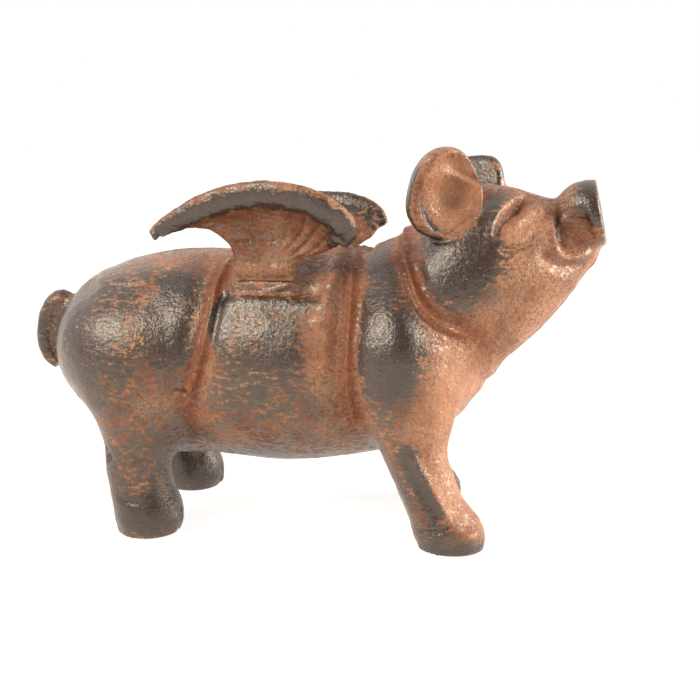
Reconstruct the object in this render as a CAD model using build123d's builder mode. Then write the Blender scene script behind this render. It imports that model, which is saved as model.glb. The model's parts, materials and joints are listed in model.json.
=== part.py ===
from build123d import *
import os
from math import cos, radians, sin

os.makedirs("parts", exist_ok=True)

# A small winged pig of cast iron, standing on four feet. Sizes are in millimetres.
# +X is the way the snout points, +Y the pig's left and +Z up. The origin is on the
# floor under the middle of the figure, and the two half castings meet on the plane Y = 0.
RIGHT = -1
LEFT = 1

# Castings
wall = 3.0
casting_gap = 0.1
cut_overrun = 4.0

# Torso
torso_rear = -55.0
torso_length = 94.0
torso_width = 46.0
torso_height = 46.2
belly_height = 13.7
# Along the length, centre above the belly, half width, half height
torso_station_shares = (
    (0.0, 0.524, 0.109, 0.108),
    (0.021, 0.517, 0.224, 0.186),
    (0.064, 0.524, 0.348, 0.316),
    (0.138, 0.506, 0.443, 0.411),
    (0.245, 0.5, 0.485, 0.474),
    (0.394, 0.504, 0.485, 0.494),
    (0.564, 0.5, 0.498, 0.498),
    (0.734, 0.53, 0.474, 0.478),
    (0.83, 0.569, 0.448, 0.459),
    (0.915, 0.608, 0.391, 0.409),
    (0.977, 0.61, 0.274, 0.277),
    (1.0, 0.613, 0.152, 0.152),
)

# Head and neck, along an axis that climbs from the shoulders to the snout
head_root_forward = 22.0
head_root_height = 41.7
head_length = 46.7
head_width = 38.0
head_height = 39.0
head_tilt = 32.0
# Along the axis, centre above the axis, half width, half height, tilt
head_station_shares = (
    (0.0, -0.038, 0.484, 0.482, 1.0),
    (0.165, 0.015, 0.474, 0.456, 1.0),
    (0.321, 0.056, 0.453, 0.436, 1.0),
    (0.493, 0.082, 0.426, 0.426, 1.0),
    (0.651, 0.077, 0.379, 0.367, 1.0),
    (0.752, 0.054, 0.305, 0.3, 1.0),
    (0.818, 0.028, 0.237, 0.236, 0.9),
    (0.884, 0.0, 0.179, 0.182, 0.76),
    (0.959, 0.005, 0.163, 0.159, 0.5),
)
# The hollow of the head stops behind the eyes, at this many of the stations
hollow_head_stations = 4

# Eyes, and the hollows at the corners of the mouth: along the head's axis by head length and
# above it by head height
eye_place_shares = (0.740, 0.190)
eye_length = 8.6
eye_height = 5.8
eye_turn = 22.0
eye_groove = 0.9
mouth_corner_shares = (0.898, -0.016)
mouth_corner_length = 7.2
mouth_corner_height = 7.6
mouth_corner_depth = 3.4
mouth_corner_level = 5.0
mouth_corner_floor_share = 0.6

# Snout disc and nostrils
snout_projection = 1.3
snout_tilt = 11.0
snout_width = 14.4
snout_depth = 13.2
snout_thickness = 4.0
nostril_width = 2.6
nostril_height = 3.8
nostril_spacing = 5.6
nostril_depth = 2.2

# Legs, each one a single form from the sole up into the haunch or the shoulder
hind_leg_height = 54.7
hind_foot_forward = -32.0
hind_foot_spacing = 30.0
left_hind_setback = 2.0
haunch_length = 38.0
haunch_depth = 28.4
# Height, forward of the sole by haunch length, outward by foot spacing, half length, half
# depth, and how much of the left leg's setback is felt
hind_leg_shares = (
    (0.0, 0.013, 0.5, 0.174, 0.211, 1.0),
    (0.046, 0.016, 0.5, 0.197, 0.243, 1.0),
    (0.108, 0.013, 0.5, 0.197, 0.246, 1.0),
    (0.179, -0.013, 0.5, 0.187, 0.232, 0.95),
    (0.269, -0.032, 0.493, 0.187, 0.239, 0.85),
    (0.356, -0.005, 0.467, 0.218, 0.278, 0.6),
    (0.464, 0.005, 0.417, 0.292, 0.366, 0.3),
    (0.607, -0.008, 0.35, 0.405, 0.465, 0.1),
    (0.75, -0.029, 0.317, 0.447, 0.5, 0.0),
    (0.878, -0.034, 0.267, 0.384, 0.433, 0.0),
    (0.976, -0.021, 0.2, 0.237, 0.282, 0.0),
)

front_leg_height = 55.7
front_foot_forward = 34.6
front_foot_spacing = 26.0
left_front_setback = 8.0
shoulder_length = 23.0
shoulder_depth = 27.0
# Height, forward of the sole by shoulder length, outward by foot spacing, half length, half
# depth, and how much of the left leg's setback is felt
front_leg_shares = (
    (0.0, -0.009, 0.5, 0.287, 0.207, 1.0),
    (0.047, -0.03, 0.5, 0.317, 0.237, 1.0),
    (0.104, -0.07, 0.5, 0.322, 0.244, 1.0),
    (0.176, -0.152, 0.508, 0.3, 0.233, 0.94),
    (0.262, -0.235, 0.512, 0.283, 0.233, 0.8),
    (0.35, -0.322, 0.512, 0.291, 0.259, 0.62),
    (0.474, -0.383, 0.462, 0.391, 0.352, 0.35),
    (0.632, -0.404, 0.392, 0.5, 0.478, 0.12),
    (0.788, -0.404, 0.358, 0.504, 0.511, 0.0),
    (0.93, -0.435, 0.277, 0.374, 0.407, 0.0),
    (1.016, -0.461, 0.192, 0.226, 0.274, 0.0),
)

# Cleft at the front of each hoof
hoof_cleft_width = 1.0
hoof_cleft_depth = 2.2
hoof_cleft_height = 5.0

# Folds pressed into the skin, seen from the side: forward by torso length, up by torso height
carving_depth = 1.1
fold_width = 2.2
rear_fold_shares = ((0.457, 1.050), (0.444, 0.870), (0.441, 0.699), (0.418, 0.519), (0.383, 0.234))
front_fold_shares = ((0.749, 1.050), (0.756, 0.879), (0.761, 0.656), (0.768, 0.498), (0.794, 0.277))
neck_fold_shares = ((0.830, 1.190), (0.866, 0.989), (0.907, 0.833), (0.970, 0.703), (1.027, 0.643))

# Ears: cupped leaves that stand on the top corners of the head
ear_length = 18.2
ear_width = 14.8
ear_thickness = 4.4
ear_turn = 22.0
ear_lean = 12.0
left_ear_drop = 2.4
left_ear_advance = 2.6
# Along the head's axis by head length, above it by head height, outward by head width
ear_place_shares = (0.546, 0.496, 0.384)
# Level in the thickness, and size of the outline there, for the leaf and for its cup
ear_leaf_shares = ((-0.5, 0.70), (-0.25, 0.92), (0.1, 1.0), (0.5, 0.93))
ear_cup_shares = ((-0.1, 0.34), (0.1, 0.58), (0.35, 0.72), (0.7, 0.82))

# Wings, each one a casting on a flat seat at the side of the back
wing_forward = -2.5
left_wing_setback = 4.0
wing_seat_angle = 30.0
wing_seat_radius = 23.2
wing_axis_height = 37.7
wing_foot_length = 13.0
wing_foot_width = 12.0
wing_pad_margin = 0.4
wing_pad_depth = 4.0
wing_length = 42.3
wing_spread = 15.8
right_wing_rise = 17.3
left_wing_rise = 12.4
wing_foot_height = 7.6
wing_foot_top_length = 12.0
wing_foot_top_width = 5.6
wing_blade_thickness = 2.2
# Stations of the blade: forward by wing length, its root outward by wing spread and above the
# seat by wing rise, its rim outward and above the seat likewise, half the rim's thickness by
# blade thickness
wing_station_shares = (
    (-0.487, 0.778, 0.387, 0.804, 0.439, 0.40),
    (-0.414, 0.734, 0.422, 0.823, 0.532, 0.66),
    (-0.310, 0.677, 0.497, 0.848, 0.660, 0.86),
    (-0.208, 0.532, 0.451, 0.861, 0.757, 1.00),
    (-0.135, 0.291, 0.231, 0.861, 0.809, 1.05),
    (-0.059, 0.196, 0.116, 0.861, 0.844, 1.09),
    (0.083, 0.177, 0.104, 0.861, 0.861, 1.09),
    (0.213, 0.228, 0.116, 0.854, 0.826, 1.09),
    (0.314, 0.380, 0.202, 0.835, 0.740, 1.05),
    (0.390, 0.544, 0.300, 0.791, 0.613, 0.95),
    (0.440, 0.600, 0.320, 0.765, 0.570, 0.95),
    (0.478, 0.665, 0.376, 0.722, 0.480, 0.60),
)
# How far the blade is scooped, by its width there
wing_scoop_share = 0.14

# Wing screws, put in from inside each half
wing_screw_diameter = 3.0
wing_screw_depth = 5.0
wing_screw_tap_end = 1.0
wing_screw_hole = 3.4
wing_screw_head = 5.6
wing_screw_head_height = 2.0
wing_washer_diameter = 7.0
wing_washer_thickness = 0.8
wing_boss_diameter = 9.0
wing_boss_depth = 6.0
thread_clearance = 0.05

# Assembly screw, put in from the left side
screw_forward = -2.0
screw_height = 34.7
screw_diameter = 4.0
screw_hole = 4.6
screw_reach = 12.0
screw_tap_end = 1.5
screw_head_diameter = 7.6
screw_head_height = 2.6
screw_recess_diameter = 8.4
screw_recess_floor = 18.2
screw_boss_diameter = 11.0
screw_slot_width = 1.1
screw_slot_depth = 1.3

# Register pins cast on the right half, with their lugs
pin_diameter = 3.0
pin_length = 2.4
pin_clearance = 0.2
lug_diameter = 8.0
rear_pin_forward = -40.0
rear_pin_height = 50.4
front_pin_forward = 28.0
front_pin_height = 27.4

# Tail, a curl with a tang held between the halves
tail_height = 47.0
tail_seat = -50.6
tail_bend_start = -55.4
tail_reach = 5.7
tail_drop = 7.3
tail_thickness = 5.2
tail_width = 6.0
tail_tang_diameter = 3.6
tail_tang_length = 3.4
tail_knob_diameter = 6.0
tail_knob_length = 2.2
tail_boss_diameter = 11.0
# Turn along the curl in degrees, and how thick it still is there
tail_sweep = 160.0
tail_taper_shares = (
    (0.0, 1.0),
    (0.17, 1.0),
    (0.34, 1.0),
    (0.5, 1.0),
    (0.67, 0.96),
    (0.84, 0.84),
    (1.0, 0.58),
)


def across(forward, height, tilt):
    """Plane across the body: its X runs to the pig's left and its normal climbs by tilt."""
    turn = radians(tilt)
    return Plane(origin=(forward, 0, height), x_dir=(0, 1, 0), z_dir=(cos(turn), 0, sin(turn)))


def across_body(forward, height):
    """Place on the joint between the halves, looking to the pig's left."""
    return Plane(origin=(forward, 0, height), x_dir=(1, 0, 0), z_dir=(0, 1, 0))


def on_head(reach, lift):
    """Forward and height of a point a reach along the head's axis and a lift above it."""
    tilt = radians(head_tilt)
    forward = head_root_forward + reach * cos(tilt) - lift * sin(tilt)
    height = head_root_height + reach * sin(tilt) + lift * cos(tilt)
    return forward, height


def torso(inset):
    """Barrel of the body from rump to chest, drawn in by inset on every side."""
    with BuildPart() as barrel:
        for along, rise, half_width, half_height in torso_station_shares:
            forward = torso_rear + inset + along * (torso_length - 2 * inset)
            with BuildSketch(across(forward, belly_height + rise * torso_height, 0)):
                Ellipse(half_width * torso_width - inset, half_height * torso_height - inset)
        loft()
    return barrel.part


def head(inset, stations):
    """Neck and head up to the snout, drawn in by inset, over the first few stations."""
    with BuildPart() as skull:
        for along, rise, half_width, half_height, turned in head_station_shares[:stations]:
            forward, height = on_head(along * head_length, rise * head_height)
            with BuildSketch(across(forward, height, turned * head_tilt)):
                Ellipse(half_width * head_width - inset, half_height * head_height - inset)
        loft()
    return skull.part


def snout():
    """Disc of the snout with its two nostrils."""
    forward, height = on_head(head_length + snout_projection, 0)
    face = across(forward, height, snout_tilt)
    with BuildPart() as disc:
        with BuildSketch(face):
            Ellipse(snout_width / 2, snout_depth / 2)
        extrude(amount=-snout_thickness)
        fillet(disc.faces().sort_by(Axis.X)[-1].edges(), snout_thickness / 4)
        with BuildSketch(face):
            with Locations((-nostril_spacing / 2, 0), (nostril_spacing / 2, 0)):
                Ellipse(nostril_width / 2, nostril_height / 2)
        extrude(amount=-nostril_depth, mode=Mode.SUBTRACT)
    return disc.part


def hind_leg(side, setback, inset):
    """Hind leg of one side from the sole to the top of the haunch, drawn in by inset."""
    with BuildPart() as leg:
        for height, forward, outward, half_length, half_depth, felt in hind_leg_shares:
            centre = (
                hind_foot_forward + forward * haunch_length - felt * setback,
                side * outward * hind_foot_spacing,
                height * hind_leg_height,
            )
            with BuildSketch(Plane(origin=centre)):
                Ellipse(half_length * haunch_length - inset, half_depth * haunch_depth - inset)
        loft()
    return leg.part


def front_leg(side, setback, inset):
    """Front leg of one side from the sole to the top of the shoulder, drawn in by inset."""
    with BuildPart() as leg:
        for height, forward, outward, half_length, half_depth, felt in front_leg_shares:
            centre = (
                front_foot_forward + forward * shoulder_length - felt * setback,
                side * outward * front_foot_spacing,
                height * front_leg_height,
            )
            with BuildSketch(Plane(origin=centre)):
                Ellipse(half_length * shoulder_length - inset, half_depth * shoulder_depth - inset)
        loft()
    return leg.part


def fold(shares, side):
    """Band across the skin that follows one fold, seen from the side."""
    line = [
        (torso_rear + forward * torso_length, belly_height + up * torso_height)
        for forward, up in shares
    ]
    behind = [(forward - fold_width / 2, height) for forward, height in line]
    ahead = [(forward + fold_width / 2, height) for forward, height in reversed(line)]
    with BuildPart() as band:
        with BuildSketch(Plane(origin=(0, 0, 0), x_dir=(1, 0, 0), z_dir=(0, -1, 0))):
            with BuildLine():
                Spline(*behind)
                Line(behind[-1], ahead[0])
                Spline(*ahead)
                Line(ahead[-1], behind[0])
            make_face()
        extrude(amount=-side * torso_width)
    return band.part


def eye(side):
    """Ring across the skin that follows the edge of one eye's lid, seen from the side."""
    along, rise = eye_place_shares
    place = on_head(along * head_length, rise * head_height)
    with BuildPart() as ring:
        with BuildSketch(Plane(origin=(0, 0, 0), x_dir=(1, 0, 0), z_dir=(0, -1, 0))):
            with Locations(place):
                Ellipse(eye_length / 2, eye_height / 2, rotation=eye_turn)
                Ellipse(
                    eye_length / 2 - eye_groove,
                    eye_height / 2 - eye_groove,
                    rotation=eye_turn,
                    mode=Mode.SUBTRACT,
                )
        extrude(amount=-side * torso_width)
    return ring.part


def carving(side, hind_setback, front_setback):
    """All that is carved out of the skin of one half, down to one depth."""
    with BuildPart() as cuts:
        add(fold(rear_fold_shares, side))
        add(fold(front_fold_shares, side))
        add(fold(neck_fold_shares, side))
        add(eye(side))
        add(torso(carving_depth), mode=Mode.SUBTRACT)
        add(head(carving_depth, len(head_station_shares)), mode=Mode.SUBTRACT)
        add(hind_leg(side, hind_setback, carving_depth), mode=Mode.SUBTRACT)
        add(front_leg(side, front_setback, carving_depth), mode=Mode.SUBTRACT)
    return cuts.part


def mouth_corner(side):
    """Dished hollow at one corner of the mouth, open to the outside."""
    along, rise = mouth_corner_shares
    forward, height = on_head(along * head_length, rise * head_height)
    levels = ((0, mouth_corner_floor_share), (mouth_corner_depth, 1))
    with BuildPart() as hollow_place:
        for rise_above, share in levels:
            level = side * (mouth_corner_level + rise_above)
            with BuildSketch(Plane(origin=(forward, level, height), x_dir=(1, 0, 0), z_dir=(0, -1, 0))):
                Ellipse(share * mouth_corner_length / 2, share * mouth_corner_height / 2)
        loft()
    return hollow_place.part


def hoof_clefts(side, hind_setback, front_setback):
    """Notches that split the toes of one side's two hooves."""
    hind_toe = hind_foot_forward - hind_setback + hind_leg_shares[2][3] * haunch_length
    front_toe = front_foot_forward - front_setback + front_leg_shares[2][3] * shoulder_length
    places = (
        (hind_toe, side * hind_foot_spacing / 2, hoof_cleft_height / 2),
        (front_toe, side * front_foot_spacing / 2, hoof_cleft_height / 2),
    )
    with BuildPart() as clefts:
        with Locations(*places):
            Box(hoof_cleft_depth, hoof_cleft_width, hoof_cleft_height)
    return clefts.part


def ear_hollow(leaf):
    """Cup of the ear, sunk into the front of the leaf."""
    with BuildPart() as cup:
        for level, share in ear_cup_shares:
            with BuildSketch(leaf.offset(level * ear_thickness)):
                Ellipse(share * ear_width / 2, share * ear_length / 2)
        loft()
    return cup.part


def ear(side, drop, advance):
    """Cupped ear of one side, its hollow turned outward and a little forward."""
    turn = radians(ear_turn)
    lean = radians(ear_lean)
    normal = (sin(turn), side * cos(turn) * cos(lean), -sin(lean) * cos(turn))
    along, rise, outward = ear_place_shares
    forward, height = on_head(along * head_length, rise * head_height)
    centre = (forward + advance, side * outward * head_width, height - drop)
    leaf = Plane(origin=centre, x_dir=(cos(turn), -side * sin(turn), 0), z_dir=normal)
    with BuildPart() as cup:
        for level, share in ear_leaf_shares:
            with BuildSketch(leaf.offset(level * ear_thickness)):
                Ellipse(share * ear_width / 2, share * ear_length / 2)
        loft()
        add(ear_hollow(leaf), mode=Mode.SUBTRACT)
    return cup.part


def wing_plane(side, setback):
    """Seat of one wing: the plane's origin is the screw's place and its normal points out."""
    angle = radians(wing_seat_angle)
    centre = (
        wing_forward - setback,
        side * wing_seat_radius * sin(angle),
        wing_axis_height + wing_seat_radius * cos(angle),
    )
    return Plane(origin=centre, x_dir=(1, 0, 0), z_dir=(0, side * sin(angle), cos(angle)))


def wing_pad(side, setback):
    """Raised pad of the half casting under the wing's foot."""
    with BuildPart() as pad:
        with BuildSketch(wing_plane(side, setback)):
            Rectangle(wing_foot_length + 2 * wing_pad_margin, wing_foot_width + 2 * wing_pad_margin)
        extrude(amount=-wing_pad_depth)
    return pad.part


def wing_blade(side, setback, rise_above_seat):
    """Scooped blade of one wing, thin at the root and thick along the rim."""
    foot = wing_plane(side, setback).origin
    half_blade = wing_blade_thickness / 2

    def moved(point, way, distance):
        return (point[0] + distance * way[0], point[1] + distance * way[1])

    with BuildPart() as blade:
        for along, root_out, root_up, rim_out, rim_up, lip_share in wing_station_shares:
            root = (side * root_out * wing_spread, root_up * rise_above_seat)
            rim = (side * rim_out * wing_spread, rim_up * rise_above_seat)
            width = ((rim[0] - root[0]) ** 2 + (rim[1] - root[1]) ** 2) ** 0.5
            upward = ((rim[0] - root[0]) / width, (rim[1] - root[1]) / width)
            inward = (-side * upward[1], side * upward[0])
            middle = moved(moved(root, upward, width / 2), inward, wing_scoop_share * width)
            lip = lip_share * wing_blade_thickness
            line = ((root, half_blade), (middle, half_blade), (rim, lip))
            outer = [moved(point, inward, -half) for point, half in line]
            inner = [moved(point, inward, half) for point, half in reversed(line)]
            section = Plane(
                origin=(foot.X + along * wing_length, foot.Y, foot.Z), x_dir=(0, 1, 0), z_dir=(1, 0, 0)
            )
            with BuildSketch(section):
                with BuildLine():
                    Spline(*outer)
                    ThreePointArc(outer[-1], moved(rim, upward, lip), inner[0])
                    Spline(*inner)
                    Line(inner[-1], outer[0])
                make_face()
        loft()
    return blade.part


def wing(side, setback, rise_above_seat):
    """Wing casting: its blade, on a foot that is tapped for the screw."""
    seat = wing_plane(side, setback)
    with BuildPart() as casting:
        with BuildSketch(seat):
            Rectangle(wing_foot_length, wing_foot_width)
        with BuildSketch(seat.offset(wing_foot_height)):
            Rectangle(wing_foot_top_length, wing_foot_top_width)
        loft()
        add(wing_blade(side, setback, rise_above_seat))
        with Locations(seat):
            Hole(wing_screw_diameter / 2 + thread_clearance, depth=wing_screw_depth + wing_screw_tap_end)
    return casting.part


def tail_socket(clearance, with_seat):
    """Room for the tail's root, tang and knob, all on one line along the body."""
    seat_length = tail_seat - (tail_bend_start - cut_overrun)
    steps = [
        (tail_seat, tail_tang_diameter, tail_tang_length),
        (tail_seat + tail_tang_length, tail_knob_diameter, tail_knob_length),
    ]
    if with_seat:
        steps.append((tail_seat - seat_length, tail_thickness, seat_length))
    with BuildPart() as room:
        for start, diameter, length in steps:
            with BuildSketch(across(start, tail_height, 0)):
                Circle(diameter / 2 + clearance)
            extrude(amount=length)
    return room.part


def tail():
    """Curled tail with the tang and knob that the two halves close on."""
    root_length = tail_seat - tail_bend_start
    with BuildPart() as curl:
        for along, thickness in tail_taper_shares:
            turned = radians(along * tail_sweep)
            centre = (
                tail_bend_start - tail_reach * sin(turned),
                0,
                tail_height - tail_drop * (1 - cos(turned)),
            )
            heading = (-tail_reach * cos(turned), 0, -tail_drop * sin(turned))
            with BuildSketch(Plane(origin=centre, x_dir=(0, 1, 0), z_dir=heading)):
                Ellipse(thickness * tail_width / 2, thickness * tail_thickness / 2)
        loft()
        with BuildSketch(across(tail_bend_start, tail_height, 0)):
            Circle(tail_thickness / 2)
        extrude(amount=root_length)
        add(tail_socket(0, with_seat=False))
    return curl.part


def hollow(side, setback):
    """Space inside one half, leaving its bosses, its lugs and its tail boss standing."""
    seat = wing_plane(side, setback)
    boss_length = 2 * torso_width
    with BuildPart() as space:
        add(torso(wall))
        add(head(wall, hollow_head_stations))
        with Locations(across_body(screw_forward, screw_height)):
            Cylinder(screw_boss_diameter / 2, boss_length, mode=Mode.SUBTRACT)
        with Locations(
            across_body(rear_pin_forward, rear_pin_height),
            across_body(front_pin_forward, front_pin_height),
        ):
            Cylinder(lug_diameter / 2, boss_length, mode=Mode.SUBTRACT)
        with BuildSketch(across(tail_seat, tail_height, 0)):
            Circle(tail_boss_diameter / 2)
        extrude(amount=tail_tang_length + tail_knob_length, mode=Mode.SUBTRACT)
        with BuildSketch(seat.offset(-wing_boss_depth)):
            Circle(wing_boss_diameter / 2)
        extrude(amount=wing_boss_depth, mode=Mode.SUBTRACT)
    return space.part


def half(side, hind_setback, front_setback, ear_drop, ear_advance, wing_setback):
    """One half casting, hollow, without the features that join it to the other."""
    seat = wing_plane(side, wing_setback)
    near = Keep.TOP if side == RIGHT else Keep.BOTTOM
    with BuildPart() as casting:
        add(torso(0))
        add(head(0, len(head_station_shares)))
        add(snout())
        split(bisect_by=Plane.XZ, keep=near)
        add(hind_leg(side, hind_setback, 0))
        add(front_leg(side, front_setback, 0))
        add(ear(side, ear_drop, ear_advance))
        add(wing_pad(side, wing_setback))
        add(hoof_clefts(side, hind_setback, front_setback), mode=Mode.SUBTRACT)
        add(carving(side, hind_setback, front_setback), mode=Mode.SUBTRACT)
        add(mouth_corner(side), mode=Mode.SUBTRACT)
        add(hollow(side, wing_setback), mode=Mode.SUBTRACT)
        add(tail_socket(casting_gap, with_seat=True), mode=Mode.SUBTRACT)
        split(bisect_by=Plane.XZ, keep=near)
        with Locations(seat):
            Hole(wing_screw_hole / 2, depth=wing_boss_depth + cut_overrun)
    return casting.part


def right_half():
    """Right casting, with the blind tapped boss and the two register pins."""
    with BuildPart() as casting:
        add(half(RIGHT, 0, 0, 0, 0, 0))
        with Locations(across_body(screw_forward, screw_height)):
            Hole(screw_diameter / 2 + thread_clearance, depth=screw_reach + screw_tap_end)
        with Locations(
            across_body(rear_pin_forward, rear_pin_height),
            across_body(front_pin_forward, front_pin_height),
        ):
            Cylinder(pin_diameter / 2, 2 * pin_length)
    return casting.part


def left_half():
    """Left casting, with the recessed screw hole and the two register sockets."""
    recess_depth = torso_width / 2 - screw_recess_floor
    outside = across_body(screw_forward, screw_height).offset(torso_width / 2)
    sockets = 2 * (pin_length + pin_clearance)
    with BuildPart() as casting:
        add(
            half(
                LEFT,
                left_hind_setback,
                left_front_setback,
                left_ear_drop,
                left_ear_advance,
                left_wing_setback,
            )
        )
        with Locations(outside):
            CounterBoreHole(screw_hole / 2, screw_recess_diameter / 2, recess_depth, torso_width)
        with Locations(
            across_body(rear_pin_forward, rear_pin_height),
            across_body(front_pin_forward, front_pin_height),
        ):
            Cylinder(pin_diameter / 2 + pin_clearance, sockets, mode=Mode.SUBTRACT)
    return casting.part


def slotted_screw(under_head, head_diameter, head_height, shank_diameter, shank_length):
    """Slotted round head screw; the plane lies under its head and faces its driver."""
    with BuildPart() as screw:
        with BuildSketch(under_head):
            Circle(head_diameter / 2)
        extrude(amount=head_height)
        fillet(screw.edges().sort_by(Axis(under_head.origin, under_head.z_dir))[-1], head_height / 4)
        with BuildSketch(under_head):
            Circle(shank_diameter / 2)
        extrude(amount=-shank_length)
        with BuildSketch(under_head.offset(head_height)):
            Rectangle(2 * head_diameter, screw_slot_width * head_diameter / screw_head_diameter)
        extrude(amount=-screw_slot_depth * head_height / screw_head_height, mode=Mode.SUBTRACT)
    return screw.part


def assembly_screw():
    """Long screw that draws the two halves together."""
    under_head = across_body(screw_forward, screw_height).offset(screw_recess_floor)
    return slotted_screw(
        under_head, screw_head_diameter, screw_head_height, screw_diameter, screw_recess_floor + screw_reach
    )


def wing_screw(side, setback):
    """Short screw that holds one wing from inside its half."""
    inside = wing_plane(side, setback).offset(-wing_boss_depth - wing_washer_thickness)
    under_head = Plane(origin=inside.origin, x_dir=inside.x_dir, z_dir=-inside.z_dir)
    shank = wing_boss_depth + wing_washer_thickness + wing_screw_depth
    return slotted_screw(under_head, wing_screw_head, wing_screw_head_height, wing_screw_diameter, shank)


def wing_washer(side, setback):
    """Plain washer under the head of one wing screw."""
    with BuildPart() as washer:
        with BuildSketch(wing_plane(side, setback).offset(-wing_boss_depth)):
            Circle(wing_washer_diameter / 2)
            Circle(wing_screw_hole / 2, mode=Mode.SUBTRACT)
        extrude(amount=-wing_washer_thickness)
    return washer.part


def write(name, piece):
    """Name one finished piece and write it."""
    piece.label = name
    export_step(piece, f"parts/{name}.step")


write("right_half", right_half())
write("left_half", left_half())
write("tail", tail())
write("assembly_screw", assembly_screw())
wing_sides = (
    ("right", RIGHT, 0, right_wing_rise),
    ("left", LEFT, left_wing_setback, left_wing_rise),
)
for side_name, side, setback, rise_above_seat in wing_sides:
    write(f"{side_name}_wing", wing(side, setback, rise_above_seat))
    write(f"{side_name}_wing_screw", wing_screw(side, setback))
    write(f"{side_name}_wing_washer", wing_washer(side, setback))
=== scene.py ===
"""Winged pig figurine of painted cast iron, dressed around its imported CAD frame.

Shapes are worked out in millimetres and brought to metres when a piece is finished. Each half
casting is sculpted in a frame where X is forward, Y is outward from the joint between the
halves and Z is up, and the right half is turned over to its own side at the end.
"""

import json
import logging
import math
from dataclasses import dataclass, field
from enum import Enum
from typing import Callable, Sequence

import bmesh
import bpy
import numpy as np
from mathutils import Matrix, Vector

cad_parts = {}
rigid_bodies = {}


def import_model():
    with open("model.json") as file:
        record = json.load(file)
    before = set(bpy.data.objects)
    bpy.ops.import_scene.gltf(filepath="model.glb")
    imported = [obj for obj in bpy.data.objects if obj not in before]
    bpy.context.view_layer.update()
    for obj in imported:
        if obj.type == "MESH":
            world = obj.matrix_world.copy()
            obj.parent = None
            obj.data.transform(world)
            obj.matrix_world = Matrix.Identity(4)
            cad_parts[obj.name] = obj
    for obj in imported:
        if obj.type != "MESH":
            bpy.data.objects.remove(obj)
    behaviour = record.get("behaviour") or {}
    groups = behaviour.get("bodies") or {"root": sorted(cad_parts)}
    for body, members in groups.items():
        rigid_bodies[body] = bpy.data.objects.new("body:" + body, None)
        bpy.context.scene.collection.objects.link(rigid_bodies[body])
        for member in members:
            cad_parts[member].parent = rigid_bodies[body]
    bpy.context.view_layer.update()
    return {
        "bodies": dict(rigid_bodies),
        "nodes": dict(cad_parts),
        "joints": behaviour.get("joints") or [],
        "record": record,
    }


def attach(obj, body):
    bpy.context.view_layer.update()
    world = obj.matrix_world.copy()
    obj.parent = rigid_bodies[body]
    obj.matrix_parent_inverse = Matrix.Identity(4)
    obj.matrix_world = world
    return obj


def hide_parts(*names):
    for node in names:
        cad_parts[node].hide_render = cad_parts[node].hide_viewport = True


Mesh = bpy.types.Mesh
BMesh = bmesh.types.BMesh
BMEdge = bmesh.types.BMEdge
Material = bpy.types.Material
Tree = bpy.types.NodeTree
Socket = bpy.types.NodeSocket
Array = np.ndarray
Field = Callable[[Array], Array]
Pair = tuple[float, float]
Point = tuple[float, float, float]
Rows = Sequence[tuple[float, ...]]
Known = dict[str, Socket]

METRE = 0.001
FAR = 1e9
AXIS_HEIGHT = 37.7
FOOT_FORWARD = -2.5
SEAT_ANGLE = 30.0
LEFT_WING_SETBACK = 4.0
HALF_VOXEL = 0.42
WING_VOXEL = 0.32
TAIL_VOXEL = 0.3
LOG = logging.getLogger("winged_pig")


class Side(Enum):
    """The two sides of the pig, valued by the sign of Y there."""

    RIGHT = -1
    LEFT = 1


# Curves, blends and noise


def through(x: Array, knots: Sequence[float], values: Sequence[float]) -> Array:
    """Read a smooth curve through a table.

    Args:
        x: Where the curve is read.
        knots: Places of the table's rows, rising.
        values: Value in each row.

    Returns:
        The curve's value at every x, level past both ends.
    """
    k = np.asarray(knots, float)
    v = np.asarray(values, float)
    slope = np.gradient(v, k)
    x = np.clip(x, k[0], k[-1])
    i = np.clip(np.searchsorted(k, x) - 1, 0, len(k) - 2)
    width = k[i + 1] - k[i]
    t = (x - k[i]) / width
    rest = 1 - t
    ends = v[i] * (1 + 2 * t) * rest**2 + v[i + 1] * (3 - 2 * t) * t**2
    return ends + width * (slope[i] * t * rest**2 - slope[i + 1] * t**2 * rest)


def merge(a: Array, b: Array, soft: float) -> Array:
    """Join two solids' fields, rounding the hollow between them over a length."""
    h = np.clip(0.5 + 0.5 * (b - a) / soft, 0, 1)
    return b * (1 - h) + a * h - soft * h * (1 - h)


def carve(a: Array, tool: Array, soft: float) -> Array:
    """Take a tool's field out of a solid's field, rounding the rim over a length."""
    return -merge(-a, tool, soft)


def ease(x: Array, low: float, high: float) -> Array:
    """Rise smoothly from 0 at low to 1 at high."""
    t = np.clip((x - low) / (high - low), 0, 1)
    return t * t * (3 - 2 * t)


def unevenness(p: Array, cell: float, seed: int) -> Array:
    """Give the smooth random unevenness of hand-made work.

    Args:
        p: Points, one in each row.
        cell: Length of one swell.
        seed: Which pattern.

    Returns:
        A value between -1 and 1 for every point.
    """
    q = p / cell + 31.7 * seed
    base = np.floor(q).astype(np.int64)
    f = q - base
    f = f * f * (3 - 2 * f)
    total = np.zeros(len(p))
    for corner in range(8):
        step = np.array([corner & 1, corner >> 1 & 1, corner >> 2])
        c = base + step
        mixed = c[:, 0] * 73856093 ^ c[:, 1] * 19349663 ^ c[:, 2] * 83492791
        mixed = (mixed ^ mixed >> 13) * 1274126177 & 0x7FFFFFFF
        weight = np.prod(np.where(step, f, 1 - f), axis=1)
        total += weight * ((mixed ^ mixed >> 15) / 0x3FFFFFFF - 1)
    return np.clip(total, -1, 1)


def rough_skin(p: Array, layers: Rows, seed: int) -> Array:
    """Add up unevenness of several (height, length), each with a pattern of its own."""
    rows = enumerate(layers)
    return sum(tall * unevenness(p, cell, seed + number) for number, (tall, cell) in rows)


# Small marks on the surface, placed by where they are in the side view


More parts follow.
